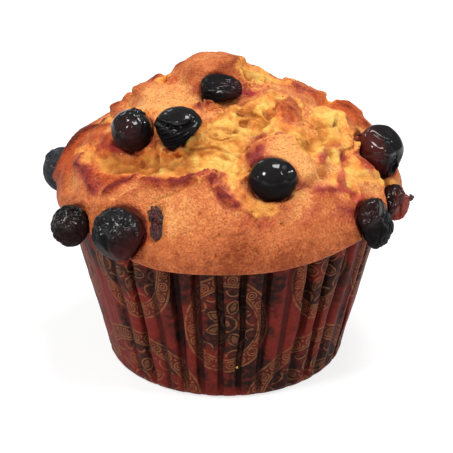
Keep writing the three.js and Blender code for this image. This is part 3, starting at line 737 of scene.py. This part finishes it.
def cakeShape():
    # The cake's grid with its fine relief, which is pushed out along the surface's own normals:
    # a crust with ragged edges over torn, pitted crumb, and a socket round each berry. Its
    # fields are worked out over the lip and dome rows alone.
    form = cakeForm
    grid, hidden, lipRows, azimuth, rise, height = cakeGrid()
    skin = grid[hidden:]
    normal = gridNormals(grid)[hidden:]
    degrees = rise / radian
    smoothSkin = domePoint(np.broadcast_to(azimuth, rise.shape), rise)
    wander = 0.8 * grain(skin, 2.6, 21, 2) + 0.12 * noise(skin, 0.8, 25)
    uneven = 0.75 + 0.55 * noise(skin, 5.2, 27)
    craggy = smooth(*form["craggy"], degrees + 5 * noise(skin, 6, 24))
    whole = patches(smoothSkin, "intact", 2 * wander, 0.7).max(0)
    cell, narrow, sharp = form["crackle"]
    crackle = np.abs(grain(skin, cell, 57, 3)) - narrow
    bare = crackle * sharp + sharp * (1 - craggy * (1 - whole))
    for width, *path in form["tears"]:
        broken = uneven if width < form["evenTear"] else 1
        gap = strokeGap(smoothSkin, path) - width * broken + wander * min(1, width)
        bare = np.minimum(bare, gap)
    bare = np.minimum(bare, 4) + 0.12
    crust = smooth(*form["rind"], bare)
    curl = hump(bare - 0.7, 0.6) * crust

    # crumb: rounded clots with sharp creases between them, and two sizes of pore
    broad, rounded, fine = form["clots"]
    pores = form["pores"]
    large, largeRadius = bowls(skin + 0.3 * wander[..., None], *pores["large"])
    small, smallRadius = bowls(skin, *pores["small"])
    crumbRelief = (broad * grain(skin, 4.4, 31, 2) + rounded * np.abs(noise(skin, 1.9, 32)) - 0.45
                   + fine * grain(skin, 1.1, 33, 3)
                   - np.sqrt(large) * largeRadius - np.sqrt(small) * smallRadius)

    # crust: shallow waves on the apron, lumps and crackle higher up, and a few small pits
    broad, fine, lumps = form["waves"]
    waves = (broad * grain(skin, 3.6, 51, 2) + fine * grain(skin, 1.1, 53, 2)
             + craggy * (lumps * np.abs(grain(skin, 4.2, 55, 3)) - 0.2))
    level = np.abs(grain(skin * (1, 1, 2.6) + 0.5 * wander[..., None], 6.5, 87, 3))
    fissure = smooth(0.055, 0.0, level) * smooth(0.0, 0.4, noise(skin, 8, 88))
    prick = bowls(skin, *pores["prick"])[0] * form["prick"]
    crustRelief = 0.5 + waves - form["fissure"] * fissure + 0.35 * curl * craggy - prick

    relief = crumbRelief + (crustRelief - crumbRelief) * crust
    # painted shade: this mask darkens the crumb's low places and the pricks in the crust; holes,
    # clefts and berry sockets below add to it
    cavityShade = (1 - crust) * smooth(-0.15, -0.9, crumbRelief) + crust * smooth(0, 0.2, prick) * 0.7
    ridge = np.zeros(rise.shape)
    for width, tall, *path in form["flaps"]:
        away = strokeGap(smoothSkin, path) + 0.45 * wander
        lump = hump(away, width) * (0.65 + 0.6 * noise(skin, 1.7, 67))
        ridge = np.maximum(ridge, tall * np.maximum(lump, 0))
    relief = relief + ridge
    for turnTo, riseTo, radius, depth in form["holes"]:
        away = spotGap(smoothSkin, turnTo, riseTo) + 0.2 * noise(skin, 0.9, 65)
        bowl = smooth(radius * 1.25, radius * 0.55, away)
        relief = relief - depth * bowl
        cavityShade = np.maximum(cavityShade, bowl)
    for width, depth, *path in form["cracks"]:
        stir = 0.3 * width * noise(skin, 1.1, 89) + 0.25 * width * wander
        away = strokeGap(smoothSkin, path) + stir
        cleft = smooth(width * 1.6, width * 0.3, away) * (0.7 + 0.5 * noise(skin, 2.8, 90))
        relief = relief - depth * cleft
        cavityShade = np.maximum(cavityShade, cleft * 0.8)

    # sockets: the cake dips in a crevice round a berry and is pushed up in a soft ring outside
    dip, ringHeight = form["socket"]
    juice = np.zeros(rise.shape)
    for berry in berryForms.values():
        centre, axes = berryAxes(berry)
        local = ((skin - centre) @ axes.T) / berry["size"]
        reach = np.linalg.norm(local, axis=-1)
        ray = local / np.maximum(reach, 0.1)[..., None]
        reach = reach / bareRadius(berry, ray, ray @ axes) + 0.05 * noise(skin, 1.6, 71)
        gone = smooth(1.1, 0.99, reach)
        relief = relief - dip * gone + ringHeight * hump(reach - 1.24, 0.12)
        # painted shade in the crevice round the berry
        cavityShade = np.maximum(cavityShade, gone * 0.8)
        juice = np.maximum(juice, berry["bleed"] * smooth(1.3, 1.0, reach + 0.12 * wander))

    fade = np.ones(len(skin))
    fade[:lipRows] = np.linspace(0, 0.9, lipRows)
    relief = (relief - form["settled"]) * fade[:, None]
    relief[-1] = relief[-1].mean()
    grid[hidden:] = skin + normal * relief[..., None]

    # juice runs in ragged, broken strokes
    ragged = 0.4 * wander + 0.35 * grain(skin, 1.3, 83, 2)
    broken = smooth(-1.1, 0.1, noise(skin, 2.4, 85))
    stain = np.maximum(juice * (0.65 + 0.35 * broken),
                       broken * strokes(smoothSkin, "stains", ragged, 3.0, -0.3))
    pink = broken * strokes(smoothSkin, "pinks", ragged, 1.6, 0.2)

    # what stands proud of its surroundings bakes browner
    total = relief + np.concatenate([np.broadcast_to(height[:1], relief[:lipRows].shape), height])
    proud = (0.6 * np.clip((total - softened(total, 7)) / 0.45, -1, 1)
             + 0.5 * np.clip((total - softened(total, 20)) / 1.1, -1, 1))
    brown, lipBrownAndShade = form["toast"]
    # browner towards the apron's lower edge: partly real browning of the lip, partly painted shade
    # on the downward-facing apron
    toast = (brown + lipBrownAndShade * smooth(14, 0, degrees) + 0.25 * grain(skin, 6, 81, 3)
             + 0.15 * hump(bare - 0.5, 0.5) + 0.3 * np.clip(ridge, 0, 0.6)
             + 0.36 * proud * smooth(0, 14, degrees) + 0.3 * fissure
             + strokes(smoothSkin, "scorched", 0.5 * wander, 2, 0)
             + patches(smoothSkin, "browningAndHighlight", 1.5 * wander, 0.4).sum(0))
    ruddy = patches(smoothSkin, "ruddy", 1.8 * wander, 0.3).max(0)

    fields = {"bare": bare, "toast": toast, "stain": stain, "pink": pink, "cavityShade": cavityShade,
              "ruddy": ruddy, "hollowShade": smooth(0.2, -0.6, crumbRelief)}
    return grid, {name: np.pad(values, ((hidden, 0), (0, 0)), "edge")
                  for name, values in fields.items()}


def cakeFinish():
    look = Finish("bakedCake", {
        "Subsurface Weight": 0.3, "Subsurface Scale": 0.001,
        "Subsurface Radius": (2.4, 1.1, 0.45), "IOR": 1.42, "Specular IOR Level": 0.22})
    bare, toast, stain, pink, cavityShade, ruddy, hollowShade = look.fields(
        "bare", "toast", "stain", "pink", "cavityShade", "ruddy", "hollowShade")
    fine, mid, broad = look.cloud(0.5, 4, 0.65), look.cloud(1.7, 3, 0.6), look.cloud(6.5, 2)
    sand, grit = look.cloud(0.33, 2, 0.7), look.cloud(0.42, 2, 0.7)
    fineStir, midStir = fine - 0.5, mid - 0.5
    golden = look.step(bare + fineStir * 1.1 + midStir * 1.3, -0.7, 0.2)
    crust = look.step(bare + fineStir * 1.1 + midStir * 1.3, 0.1, 1.3)
    browning = toast + (broad - 0.5) * 0.55 + midStir * 0.8 + fineStir * 0.7
    glow = look.step(ruddy + midStir * 0.5 + fineStir * 0.4, 0.1, 0.9)

    # crumb: yellow, with orange dots at its pores and pits, painted shade of deeper orange in its
    # hollows, and thin golden crust along its edges
    patchy = look.step(mid * 0.7 + broad * 0.5 + fine * 0.3, 0.6, 0.95)
    pits = look.step(look.pores(1.5) + fineStir * 0.4 + midStir * 0.3, 0.24, 0.12)
    crumb = look.layered(
        tint(255, 222, 126),
        (patchy, tint(255, 202, 104)),
        (look.step(look.pores(0.7) + fineStir * 0.3, 0.25, 0.1) * 0.3, tint(224, 136, 58)),
        (pits * 0.25, tint(226, 126, 48)),
        (look.step(look.cloud(3.6, 4, 0.62, 0.6), 0.46, 0.62) * 0.5, tint(250, 160, 78)))
    crumb = look.layered(
        look.speckled(crumb, sand, tint(248, 234, 214)),
        # painted shade: deeper orange in the crumb's low places
        (hollowShade * 0.55, tint(246, 146, 62)),
        (look.step(mid + fineStir * 0.4, 0.54, 0.7) * 0.3, tint(255, 226, 132)),
        (golden, look.mix(fine, tint(252, 182, 98), tint(240, 152, 74))),
        (glow * 0.7, tint(246, 148, 68)),
        (glow * 0.5 * golden, tint(220, 112, 52)))

    # crust: from pale tan to dark brown, with redder places and dark dots
    reddest = look.mix(look.step(browning, 0.7, 1.3), tint(194, 78, 24), tint(104, 38, 24))
    skin = look.layered(
        tint(250, 178, 106),
        (look.step(browning, -0.15, 0.5), tint(216, 125, 72)),
        (look.step(browning, 0.45, 1.05), tint(158, 74, 34)),
        (look.step(browning, 1.0, 1.6) * 0.85, tint(92, 36, 24)),
        (glow * 0.8, reddest),
        (look.step(look.pores(0.85) + midStir * 0.3, 0.2, 0.08) * 0.4, tint(112, 50, 26)))
    skin = look.speckled(skin, grit, tint(214, 196, 188))
    # painted shade: browner colour in cavities, clefts, pores and round berries
    colour = look.layered(crumb, (crust, skin), (cavityShade * 0.7, tint(168, 82, 32)))

    # juice darkens what lies under it: orange at its fringe, purple further in
    soaked = stain + midStir * 0.5 + fineStir * 0.45
    colour = look.mix(look.step(soaked, 0.1, 0.45) * 0.6, colour, tint(240, 200, 216), "MULTIPLY")
    colour = look.mix(look.step(soaked, 0.3, 0.9), colour, tint(196, 150, 214), "MULTIPLY")
    colour = look.layered(
        colour,
        (look.step(soaked, 0.85, 1.3) * 0.55, tint(104, 46, 64)),
        (look.step(pink + midStir * 0.5 + fineStir * 0.4, 0.3, 0.95) * 0.8, tint(172, 46, 56)))

    rough = 0.84 - crust * 0.2 - look.step(soaked, 0.4, 1.0) * 0.15 + fineStir * 0.2
    sponge = look.cloud(0.45, 4, 0.7) * 1.6 + sand * 0.6
    sponge = sponge + look.step(look.pores(0.6), 0.0, 0.35) * 0.5 - pits * 0.4
    peel = look.cloud(0.8, 3, 0.6) * 0.8 + grit * 0.9
    peel = peel + look.step(look.pores(0.85), 0.05, 0.3) * 0.4
    fineRelief = look.bump(peel * golden + sponge * (1 - golden), 0.48, 0.9)
    look.set(Base_Color=colour, Roughness=rough, Normal=fineRelief)
    return look.material


crumbForm = {
    "tried": 900,
    "most": 70,
    "rows": 12,
    "columns": 16,
    "ends": 20,                 # rows of the cake that have none at the foot and the peak
    "torn": (-0.6, 0.9),        # distances from a torn edge between which they lie
    "size": (0.16, 0.5),
    "proud": 0.45,              # how far out they sit, in sizes
    "paper": [(5, 8.5, 0.22), (-150, 9.0, 0.3)],    # azimuth, height and size on the cup
}


def crumbShape(grid, bare):
    # Loose crumbs: small lumps, spheres with a radius stirred by noise, half sunk where the
    # crust's edge has broken. Their places are tried at random and kept along torn edges.
    form = crumbForm
    tried = np.arange(form["tried"])
    ends = form["ends"]
    rows = ends + (scatter(tried, 0, 0, 101) ** 0.8 * (len(grid) - 2 * ends)).astype(int)
    columns = (scatter(tried, 1, 0, 101) * grid.shape[1]).astype(int)
    inner, outer = form["torn"]
    torn = (bare[rows, columns] > inner) & (bare[rows, columns] < outer)
    kept = np.flatnonzero(torn)[:form["most"]]
    rows, columns = rows[kept], columns[kept]
    least, most = form["size"]
    sizes = least + (most - least) * scatter(kept, 2, 0, 101) ** 3
    normals = gridNormals(grid)[rows, columns]
    centres = grid[rows, columns] + normals * sizes[:, None] * form["proud"]
    for turn, height, size in form["paper"]:
        spot = outward(turn * radian, 0.0) * (ridgeRadius(height) + size * 0.3)
        centres = np.concatenate([centres, [spot + (0, 0, height)]])
        sizes = np.append(sizes, size)
    upward = np.linspace(-np.pi / 2, np.pi / 2, form["rows"])[:, None]
    ray = outward(columnTurns(form["columns"]), upward)
    own = np.arange(len(sizes))[:, None, None, None] * 7.3
    stretch = 0.75 + 0.5 * scatter(own, np.arange(3), 0, 103)
    radius = 1 + 0.35 * noise(ray + own, 0.7, 105) + 0.2 * noise(ray + own, 0.33, 106)
    points = centres[:, None, None] + ray * stretch * (sizes[:, None, None] * radius)[..., None]
    share = scatter(own[..., 0], 5, 0, 107)
    return points, {"bare": 2.4 * share - 0.9, "toast": share}


# The berries

berryForm = {
    "columns": 148,
    "rows": 100,
    "crown": (0.3, 5, 0.16),    # its angle in radians, its petals and how far they stand out
    "crownRim": (0.07, 0.07),   # height and width
    "crownDepth": 0.12,
    "dishRim": (0.02, 0.12),
    "grain": 0.005,
    "offPaper": 0.15,
}
scrapForm = {**berryForm, "columns": 64, "rows": 40}
# the scraps' grey bloom is a painted highlight: grey patches that stand for glints on their wet
# skin
scrapLook = {"square": 3, "folds": 0.12, "red": 0.6, "redSide": None, "wet": 0.8, "bloomAndGlint": 0.3,
             "matte": 0.1, "creases": [(0.3, 0.4, 1.5, (1, 0, 0), 0.6, 77),
                                       (0.15, 0.2, 1.2, (1, 0, 0), 0.5, 79)]}


def berryShape(form, build):
    # A superellipsoid whose radius is cut by flat facets (a soft minimum with each plane), by
    # creases (where a stretched noise crosses zero), by valleys (bell curves along circles), by
    # cuts (bell curves along paths), by ribs round an axis, by rounded dents, by a dish with a
    # raised rim, and by the ring of its crown. Its poles are the ends of its up axis.
    elevation = np.linspace(-np.pi / 2, np.pi / 2, build["rows"])[:, None]
    ray = outward(columnTurns(build["columns"]), elevation)
    centre, axes = berryAxes(form)
    world = ray @ axes
    folds = form.get("folds", 0)
    fold = np.abs(noise(ray + form["seat"][0], 0.55, 5))
    scale = bareRadius(form, ray, world) - folds * fold
    # painted shade: a mask that darkens folds, creases, cuts, ribs and the crown's hollow
    creviceShade = smooth(0.25, 0, fold) * min(folds * 3, 0.6)
    rough = 1
    if "fading" in form:
        rough = smooth(0.35, -0.25, world @ unit(form["fading"]) + 0.3 * noise(world, 0.5, 3))
    for depth, cell, stretch, along, width, seed in form["creases"]:
        along = unit(along)
        squeezed = world - (world @ along)[..., None] * along * (1 - 1 / stretch)
        sway = noise(world, 0.8, seed + 1)[..., None] * 0.12
        level = np.abs(noise(squeezed + sway + seed, cell, seed))
        cut = (1 - smooth(0, width, level)) * rough
        scale = scale - depth * cut + depth * 0.5 * smooth(width, 1, level) * rough
        creviceShade = np.maximum(creviceShade, cut * min(depth * 12, 1))
    lines = [(world @ unit(towards) - offset + 0.06 * noise(world, 0.9, 15), width, depth)
             for towards, offset, width, depth in form.get("valleys", [])]
    lines += [(pathGap(world, outward(*np.array(path, float).T * radian))
               + 0.03 * noise(world, 0.4, 16), width, depth)
              for width, depth, *path in form.get("cuts", [])]
    for away, width, depth in lines:
        cut = hump(away, width)
        scale = scale - depth * cut
        creviceShade = np.maximum(creviceShade, cut ** 3 * min(depth * 6, 1))
    if "ribs" in form:
        axis, count, depth, facing = form["ribs"]
        angle = turnRound(world, axis) + 0.12 * noise(world, 0.5, 17)
        valley = (0.5 - 0.5 * np.cos(angle * count)) ** 0.7
        valley = valley * smooth(0.3, 0.6, world @ unit(facing))
        scale = scale - depth * valley
        creviceShade = np.maximum(creviceShade, valley ** 3)
    for towards, width, depth in form.get("dents", []):
        scale = scale - depth * hump(1 - world @ unit(towards), width)
    if "dish" in form:
        towards, width, depth = form["dish"]
        angle = angleTo(world, towards)
        tall, wide = build["dishRim"]
        scale = scale + tall * hump(angle - width, wide)
        scale = scale - depth * smooth(width, width * 0.2, angle)
    if "crown" in form:
        ringAt, petals, standing = build["crown"]
        tall, wide = build["crownRim"]
        angle = angleTo(world, form["crown"])
        ringAt = ringAt * (1 + standing * np.cos(petals * turnRound(world, form["crown"])))
        scale = scale + tall * hump(angle - ringAt, wide)
        scale = scale - build["crownDepth"] * smooth(ringAt * 0.95, ringAt * 0.5, angle)
        creviceShade = np.maximum(creviceShade, smooth(ringAt, ringAt * 0.6, angle))
    scale = scale + build["grain"] * noise(world, 0.16, 7)
    points = centre + (ray * form["size"] * scale[..., None]) @ axes
    # a berry over the rim lies against the outside of the paper
    level = np.hypot(points[..., 0], points[..., 1])
    least = ridgeRadius(points[..., 2]) + build["offPaper"]
    outside = smooth(cupWall["height"] + 0.5, cupWall["height"] - 0.3, points[..., 2])
    stretched = 1 + outside * np.maximum(least / np.maximum(level, 1) - 1, 0)
    points[..., :2] *= stretched[..., None]
    redSide = form.get("redSide", (0, 0, -1))
    facing = world @ unit(redSide) if redSide else 0.4
    red = form["red"] * smooth(-0.6, 0.8, facing + 0.5 * noise(world, 0.6, 10))
    bloomAndGlint = form.get("bloomAndGlint", 0) * smooth(-0.4, 0.5, noise(world, 0.7, 12) + 0.3)
    matte = np.clip(form.get("matte", 0) + 0.2 * noise(world, 0.4, 13), 0, 1)
    # juice has dried clear and glossy on top, and dull underneath
    upward = world[..., 2] + form.get("wet", 0) + 0.2 * noise(world, 0.3, 19)
    shine = smooth(0.05, 0.5, upward) * (1 - 0.85 * matte)
    return points, {"red": red, "bloomAndGlint": bloomAndGlint, "matte": matte, "creviceShade": creviceShade, "shine": shine}


def berryFinish(name, skin, flesh):
    look = Finish(name, {"IOR": 1.45, "Specular IOR Level": 0.04, "Coat Roughness": 0.09,
                         "Coat IOR": 1.5})
    red, bloomAndGlint, matte, creviceShade, shine = look.fields("red", "bloomAndGlint", "matte", "creviceShade", "shine")
    fine = look.cloud(0.4, 3)
    stir = (look.cloud(1.5, 3) - 0.5) * 0.5 + (fine - 0.5) * 0.3
    # grey frost: bloom on the berries, painted glints on the scraps
    frostAndGlint = look.step(bloomAndGlint + stir, 0.15, 0.9)
    colour = look.layered(skin, (look.step(red + stir, 0.1, 1.0), flesh),
                          # painted shade: near-black in the berry's crevices
                          (creviceShade * 0.6, tint(9, 7, 9)), (frostAndGlint * 0.6, tint(96, 98, 108)))
    rough = 0.32 + matte * 0.3 + frostAndGlint * 0.3 + (fine - 0.5) * 0.2
    relief = look.cloud(0.45, 3, 0.6) + look.cloud(1.3, 2) * 0.6
    look.set(Base_Color=colour, Roughness=rough, Coat_Weight=shine * (0.65 - frostAndGlint * 0.5),
             Normal=look.bump(relief, 0.1, 0.7))
    return look.material


# The paper cup

cupForm = {
    "pleats": 42,
    "perPleat": 18,
    "uneven": 0.4,
    "steps": (0.46, 0.62, 0.82),    # where a pleat's ridge ends and its groove starts and ends
    "widePanels": (2, 6, 13, 20, 27, 35, 36, 38),   # the grooves that are pressed nearly flat
    "deeper": 1.18,                 # depth of its grooves against the solid's
    "shallower": (0.25, 0.8),       # how much less some grooves and the wide panels have
    "foot": (0.22, 4.0),            # share of the depth at the base, and height where it is full
    "bow": 0.14,
    "sunk": 0.16,
    "lean": 0.1,
    "wrinkle": (0.22, 0.05),
    "thick": 0.22,
    "meanRadius": 28,
    "floorRings": (0, 8, 15, 20),
    "floorRadius": 23.5,
    "heelTop": 2.6,
    "heelRows": 8,
    "wallRows": 46,
    "print": {"pitch": 34, "rows": 26, "centre": 45.1, "rim": 13.3, "band": 3.3, "rings": 22,
              "line": 0.38, "scallops": 14, "scallopAt": 8.8, "leaves": 8, "leafFrom": 2.8,
              "leafLong": 4.0, "leafWide": 1.25},
}


def cupShape():
    # Rows run from the middle of the base over the rounded heel, up the wall to the rim and
    # back down inside. Each pleat is a ridge and a narrower groove with rounded shoulders:
    # two smooth steps of its part of the turn, deeper towards the rim.
    form = cupForm
    per, pleats = form["perPleat"], form["pleats"]
    pleat = np.repeat(np.arange(pleats), per)
    begin, closed = (form["uneven"] * (scatter(each, 0, 0, 7) - 0.5)
                     for each in (pleat, (pleat + 1) % pleats))
    closed = 1 + closed
    ridgeEnd, grooveStart, grooveEnd = (
        end + form["uneven"] * 0.3 * scatter(pleat, i + 1, 0, 8)
        for i, end in enumerate(form["steps"]))
    # more columns on the slopes than on the flats
    knots = np.stack([begin, ridgeEnd, grooveStart, grooveEnd, closed])
    place = np.tile(np.linspace(0, 4, per, endpoint=False), pleats)
    leg = np.minimum(place.astype(int), 3)
    index = np.arange(len(pleat))
    part = knots[leg, index] + (knots[leg + 1, index] - knots[leg, index]) * (place - leg)
    some, wide = form["shallower"]
    uneven = 1 - some * scatter(pleat, 2, 1, 9)
    uneven = uneven * (1 - wide * np.isin(pleat, form["widePanels"]))
    groove = smooth(ridgeEnd, grooveStart, part) * (1 - smooth(grooveEnd, closed, part))
    onRidge = np.clip((part - begin) / (ridgeEnd - begin), 0, 1)
    bow = 4 * onRidge * (1 - onRidge)

    heel = np.linspace(0, 90, form["heelRows"] + 1)[:-1] * radian
    wall = np.linspace(form["heelTop"], cupWall["height"], form["wallRows"])
    reach = ridgeRadius(form["heelTop"]) - form["floorRadius"]
    floor = np.array(form["floorRings"])
    radii = np.concatenate([floor, form["floorRadius"] + reach * np.sin(heel), ridgeRadius(wall)])
    heights = np.concatenate([floor * 0, form["heelTop"] * (1 - np.cos(heel)), wall])
    least, full = form["foot"]
    share = least + (1 - least) * smooth(0, full, heights)
    share[:len(floor)] = 0
    radii, heights, share = radii[:, None], heights[:, None], share[:, None]

    drift = np.stack(np.broadcast_arrays(pleat * 3.7, heights / 9, 0.0), -1)
    turn = (pleat + part + form["lean"] * noise(drift, 1.0, 91) * share) / pleats * 2 * np.pi
    level = np.broadcast_to(heights, turn.shape)
    around = np.stack([np.sin(turn) * form["meanRadius"], np.cos(turn) * form["meanRadius"],
                       level], -1)
    broad, fine = form["wrinkle"]
    dents = broad * grain(around, 6, 93, 2) + fine * noise(around, 2.2, 94)
    radius = radii - groove * grooveDepth(heights) * form["deeper"] * uneven * share
    radius = radius + share * (form["bow"] * bow + dents - form["sunk"])
    outer = np.stack([np.sin(turn) * radius, -np.cos(turn) * radius, level], -1)

    # the flat sheet: slant distance from the middle, and share of the way round each row
    slant = np.cumsum(np.hypot(np.diff(radii, axis=0), np.diff(heights, axis=0)), 0)
    slant = np.concatenate([[[0]], slant])
    step = np.linalg.norm(np.roll(outer, -1, 1) - outer, axis=-1)
    swing = (np.cumsum(step, 1) - step) / np.maximum(step.sum(1, keepdims=True), 1e-6) * 2 * np.pi
    swing[0] = swing[len(floor)]
    flat = np.stack([np.sin(swing) * slant, -np.cos(swing) * slant], -1)

    inward = outward(turn, np.zeros_like(turn)) * form["thick"]
    inner = outer - inward * np.minimum(slant / 12, 1)[..., None]
    inner[..., 2] += form["thick"] * (1 - smooth(0, 6, heights))
    rim = (outer[-1:] + inner[-1:]) / 2 + (0, 0, form["thick"] * 0.4)
    groove = groove * share

    def folded(rows):
        return np.concatenate([rows, rows[-1:], rows[::-1]])

    inside = np.repeat([0.0, 1.0], (len(outer), len(outer) + 1))[:, None]
    return (np.concatenate([outer, rim, inner[::-1]]), folded(flat),
            {"groove": folded(groove), "inside": inside})


def cupFinish():
    # Generic printed paper: a staggered lattice of round medallions on the flat sheet, each a
    # gold-edged band of small rings round scallops and a rosette of leaves, over mottled colour
    form = cupForm["print"]
    look = Finish("printedPaper", {"IOR": 1.45, "Specular IOR Level": 0.02,
                                   "Coat Weight": 0.05, "Coat Roughness": 0.25})
    groove, inside = look.fields("groove", "inside")
    sheet = look.add("ShaderNodeUVMap", {"uv_map": "flatSheet"})
    split = look.add("ShaderNodeSeparateXYZ", None, {0: sheet}).socket.node
    across, along = Wire(look, split.outputs[0]), Wire(look, split.outputs[1]) * -1
    wobble, worn, blotch = look.cloud(5, 2), look.cloud(1.1, 3, 0.6), look.cloud(9, 3, 0.55)

    def length(x, y):
        return look.maths("SQRT", x * x + y * y)

    def nearest(shift):
        # offset from the nearest medallion of one of the two straight lattices
        def wrapped(value, pitch, move):
            moved = (value - move) / pitch + 0.5
            return (look.maths("FRACT", moved + 100) - 0.5) * pitch
        x = wrapped(across, form["pitch"], shift * form["pitch"] / 2)
        y = wrapped(along, form["rows"] * 2, form["centre"] + shift * form["rows"])
        return x, y, length(x, y)

    xa, ya, ra = nearest(0)
    xb, yb, rb = nearest(1)
    first = look.maths("LESS_THAN", ra, rb)
    x, y = xa * first + xb * (1 - first), ya * first + yb * (1 - first)
    r = look.maths("MINIMUM", ra, rb)
    angle = look.maths("ARCTAN2", x, y)

    def line(distance, width):
        # 1 along the zero of a distance, for a line of that width
        return look.step(look.maths("ABSOLUTE", distance), width * 0.62, width * 0.38)

    def repeated(count, radius, turn=0.0):
        # distance along a circle from the middle of one of count equal sectors
        share = look.maths("FRACT", angle * (count / (2 * np.pi)) + (turn + 100)) - 0.5
        return share * (2 * np.pi * radius / count)

    rim, width = form["rim"], form["line"]
    inner = rim - form["band"]
    gold = [line(r - rim, width * 1.2), line(r - inner, width),
            line(r - inner - 0.55, width * 0.6)]
    # the band: small rings, with a pair of dots between them
    middle = (rim + inner) / 2
    ring = length(repeated(form["rings"], middle), r - middle)
    gold += [line(ring - 1.0, width * 0.8), line(ring - 0.45, width * 0.6)]
    apart = look.maths("ABSOLUTE", r - middle) - 0.75
    gold.append(look.step(length(repeated(form["rings"], middle, 0.5), apart), 0.32, 0.2))
    # inside: scallops, and almond leaves round a small ring and a dot
    drop = r - form["scallopAt"] - 0.3
    arc = line(length(repeated(form["scallops"], form["scallopAt"]), drop) - 1.5, width)
    up = look.maths("MAXIMUM", (r - form["leafFrom"]) / form["leafLong"], 0.0)
    swell = look.maths("SINE", look.maths("MINIMUM", up, 1.0) * np.pi)
    leaf = look.maths("ABSOLUTE", repeated(form["leaves"], 1)) * r - swell * form["leafWide"]
    gold += [arc * look.step(drop, 0.0, -0.2), line(leaf, width) * look.step(swell, 0.05, 0.15),
             look.step(leaf, -0.5, -0.75) * 0.6, line(r - 2.2, width), look.step(r, 0.9, 0.7)]
    lines = gold[0]
    for part in gold[1:]:
        lines = look.maths("MAXIMUM", lines, part)
    lines = lines * look.step(worn + (wobble - 0.5) * 0.4, 0.25, 0.55)

    # mottled maroon and near-black, redder inside the bands, with painted shade in the grooves
    onBand = look.step(r, inner - 0.1, inner) * look.step(r, rim, rim - 0.1)
    within = look.step(r, inner, inner - 0.1)
    darkness = look.step(blotch + (wobble - 0.5) * 0.25 + within * 0.05, 0.44, 0.6)
    colour = look.layered(
        tint(104, 33, 27),
        (darkness, tint(38, 23, 20)),
        (look.step(worn, 0.42, 0.72) * 0.3, tint(146, 52, 40)),
        (onBand * 0.6, tint(84, 33, 25)),
        (lines * 0.6, tint(138, 93, 59)),
        # painted shade: near-black in the grooves
        (groove * 0.6, tint(18, 8, 8)),
        (inside * 0.7, tint(70, 34, 26)))
    rough = 0.46 + (worn - 0.5) * 0.2 + lines * 0.08 + inside * 0.2
    creased = look.cloud(2.2, 2) + look.cloud(0.25, 4, 0.7) * 0.25
    look.set(Base_Color=colour, Roughness=rough, Normal=look.bump(creased, 0.14, 0.6))
    return look.material


# Putting it together

print("camera and light")
view = {"target": (0.18, 0.0, 27.7), "distance": 450.0, "elevation": 25.5, "lens": 168.2}
target = np.array(view["target"]) / 1000
away = outward(0.0, view["elevation"] * radian) * view["distance"] / 1000
cameraData = bpy.data.cameras.new("view")
cameraData.lens = view["lens"]
cameraData.sensor_width = 36
cameraData.clip_end = 50
camera = placed(bpy.data.objects.new("view", cameraData))
camera.location = (target + away).tolist()
camera.rotation_euler = ((90 - view["elevation"]) * radian, 0, 0)
scene.camera = camera

lights = {                      # azimuth, elevation, distance and size in metres, power in watts
    "key": (-46, 48, 0.9, 0.2, 4.0),
    "fill": (62, 44, 1.1, 0.2, 3.5),
    "above": (100, 80, 0.8, 0.3, 4.2),
    "back": (-150, 35, 1.2, 0.3, 1.0),
    "left": (-63, 14, 0.9, 0.1, 0.4),
}
for name, (turn, rise, distance, size, power) in lights.items():
    data = bpy.data.lights.new(name, "AREA")
    data.shape = "DISK"
    data.size = size
    data.energy = power
    lamp = placed(bpy.data.objects.new(name, data))
    lamp.location = (target + outward(turn * radian, rise * radian) * distance).tolist()
    lamp.rotation_euler = ((90 - rise) * radian, 0, turn * radian)

world = bpy.data.worlds.new("studio")
world.use_nodes = True
background = world.node_tree.nodes["Background"]
background.inputs["Color"].default_value = (1, 1, 1, 1)
background.inputs["Strength"].default_value = 0.24
scene.world = world
scene.view_settings.view_transform = "Standard"
scene.view_settings.look = "None"

floorMesh = bpy.data.meshes.new("floor")
side, drop = 6, -0.0002
corners = [(-side, -side, drop), (side, -side, drop), (side, side, drop), (-side, side, drop)]
floorMesh.from_pydata(corners, [], [(0, 1, 2, 3)])
floorLook = Finish("paleFloor", {"Base Color": (0.35, 0.35, 0.35, 1), "Roughness": 0.9,
                                 "Emission Color": (1, 1, 1, 1), "Emission Strength": 0.75})
floorMesh.materials.append(floorLook.material)
floor = placed(bpy.data.objects.new("floor", floorMesh))

print("cake")
grid, fields = cakeShape()
bakedCake = cakeFinish()
cake = latheMesh("cake_baked", grid, bakedCake, fields)
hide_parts("cake")
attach(cake, "root")

print("loose crumbs")
lumps, fields = crumbShape(grid, fields["bare"])
crumbs = latheMesh("loose_crumbs", lumps, bakedCake, fields)
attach(crumbs, "root")

print("paper cup")
grid, sheet, fields = cupShape()
cup = latheMesh("cup_pressed", grid, cupFinish(), fields, sheet)
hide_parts("paper_cup")
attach(cup, "root")

print("berries")
darkSkin = berryFinish("berrySkin", tint(20, 18, 19), tint(72, 24, 21))
burstSkin = berryFinish("burstBerrySkin", tint(34, 14, 14), tint(134, 58, 46))
for name, form in berryForms.items():
    points, fields = berryShape(form, berryForm)
    burst = name == "right_burst"
    berry = latheMesh("berry_" + name + "_baked", points, burstSkin if burst else darkSkin, fields)
    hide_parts("berry_" + name)
    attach(berry, "root")

print("scraps of skin")
for name, form in scrapForms.items():
    points, fields = berryShape({**scrapLook, **form}, scrapForm)
    scrap = latheMesh("skin_scrap_" + name, points, burstSkin, fields)
    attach(scrap, "root")
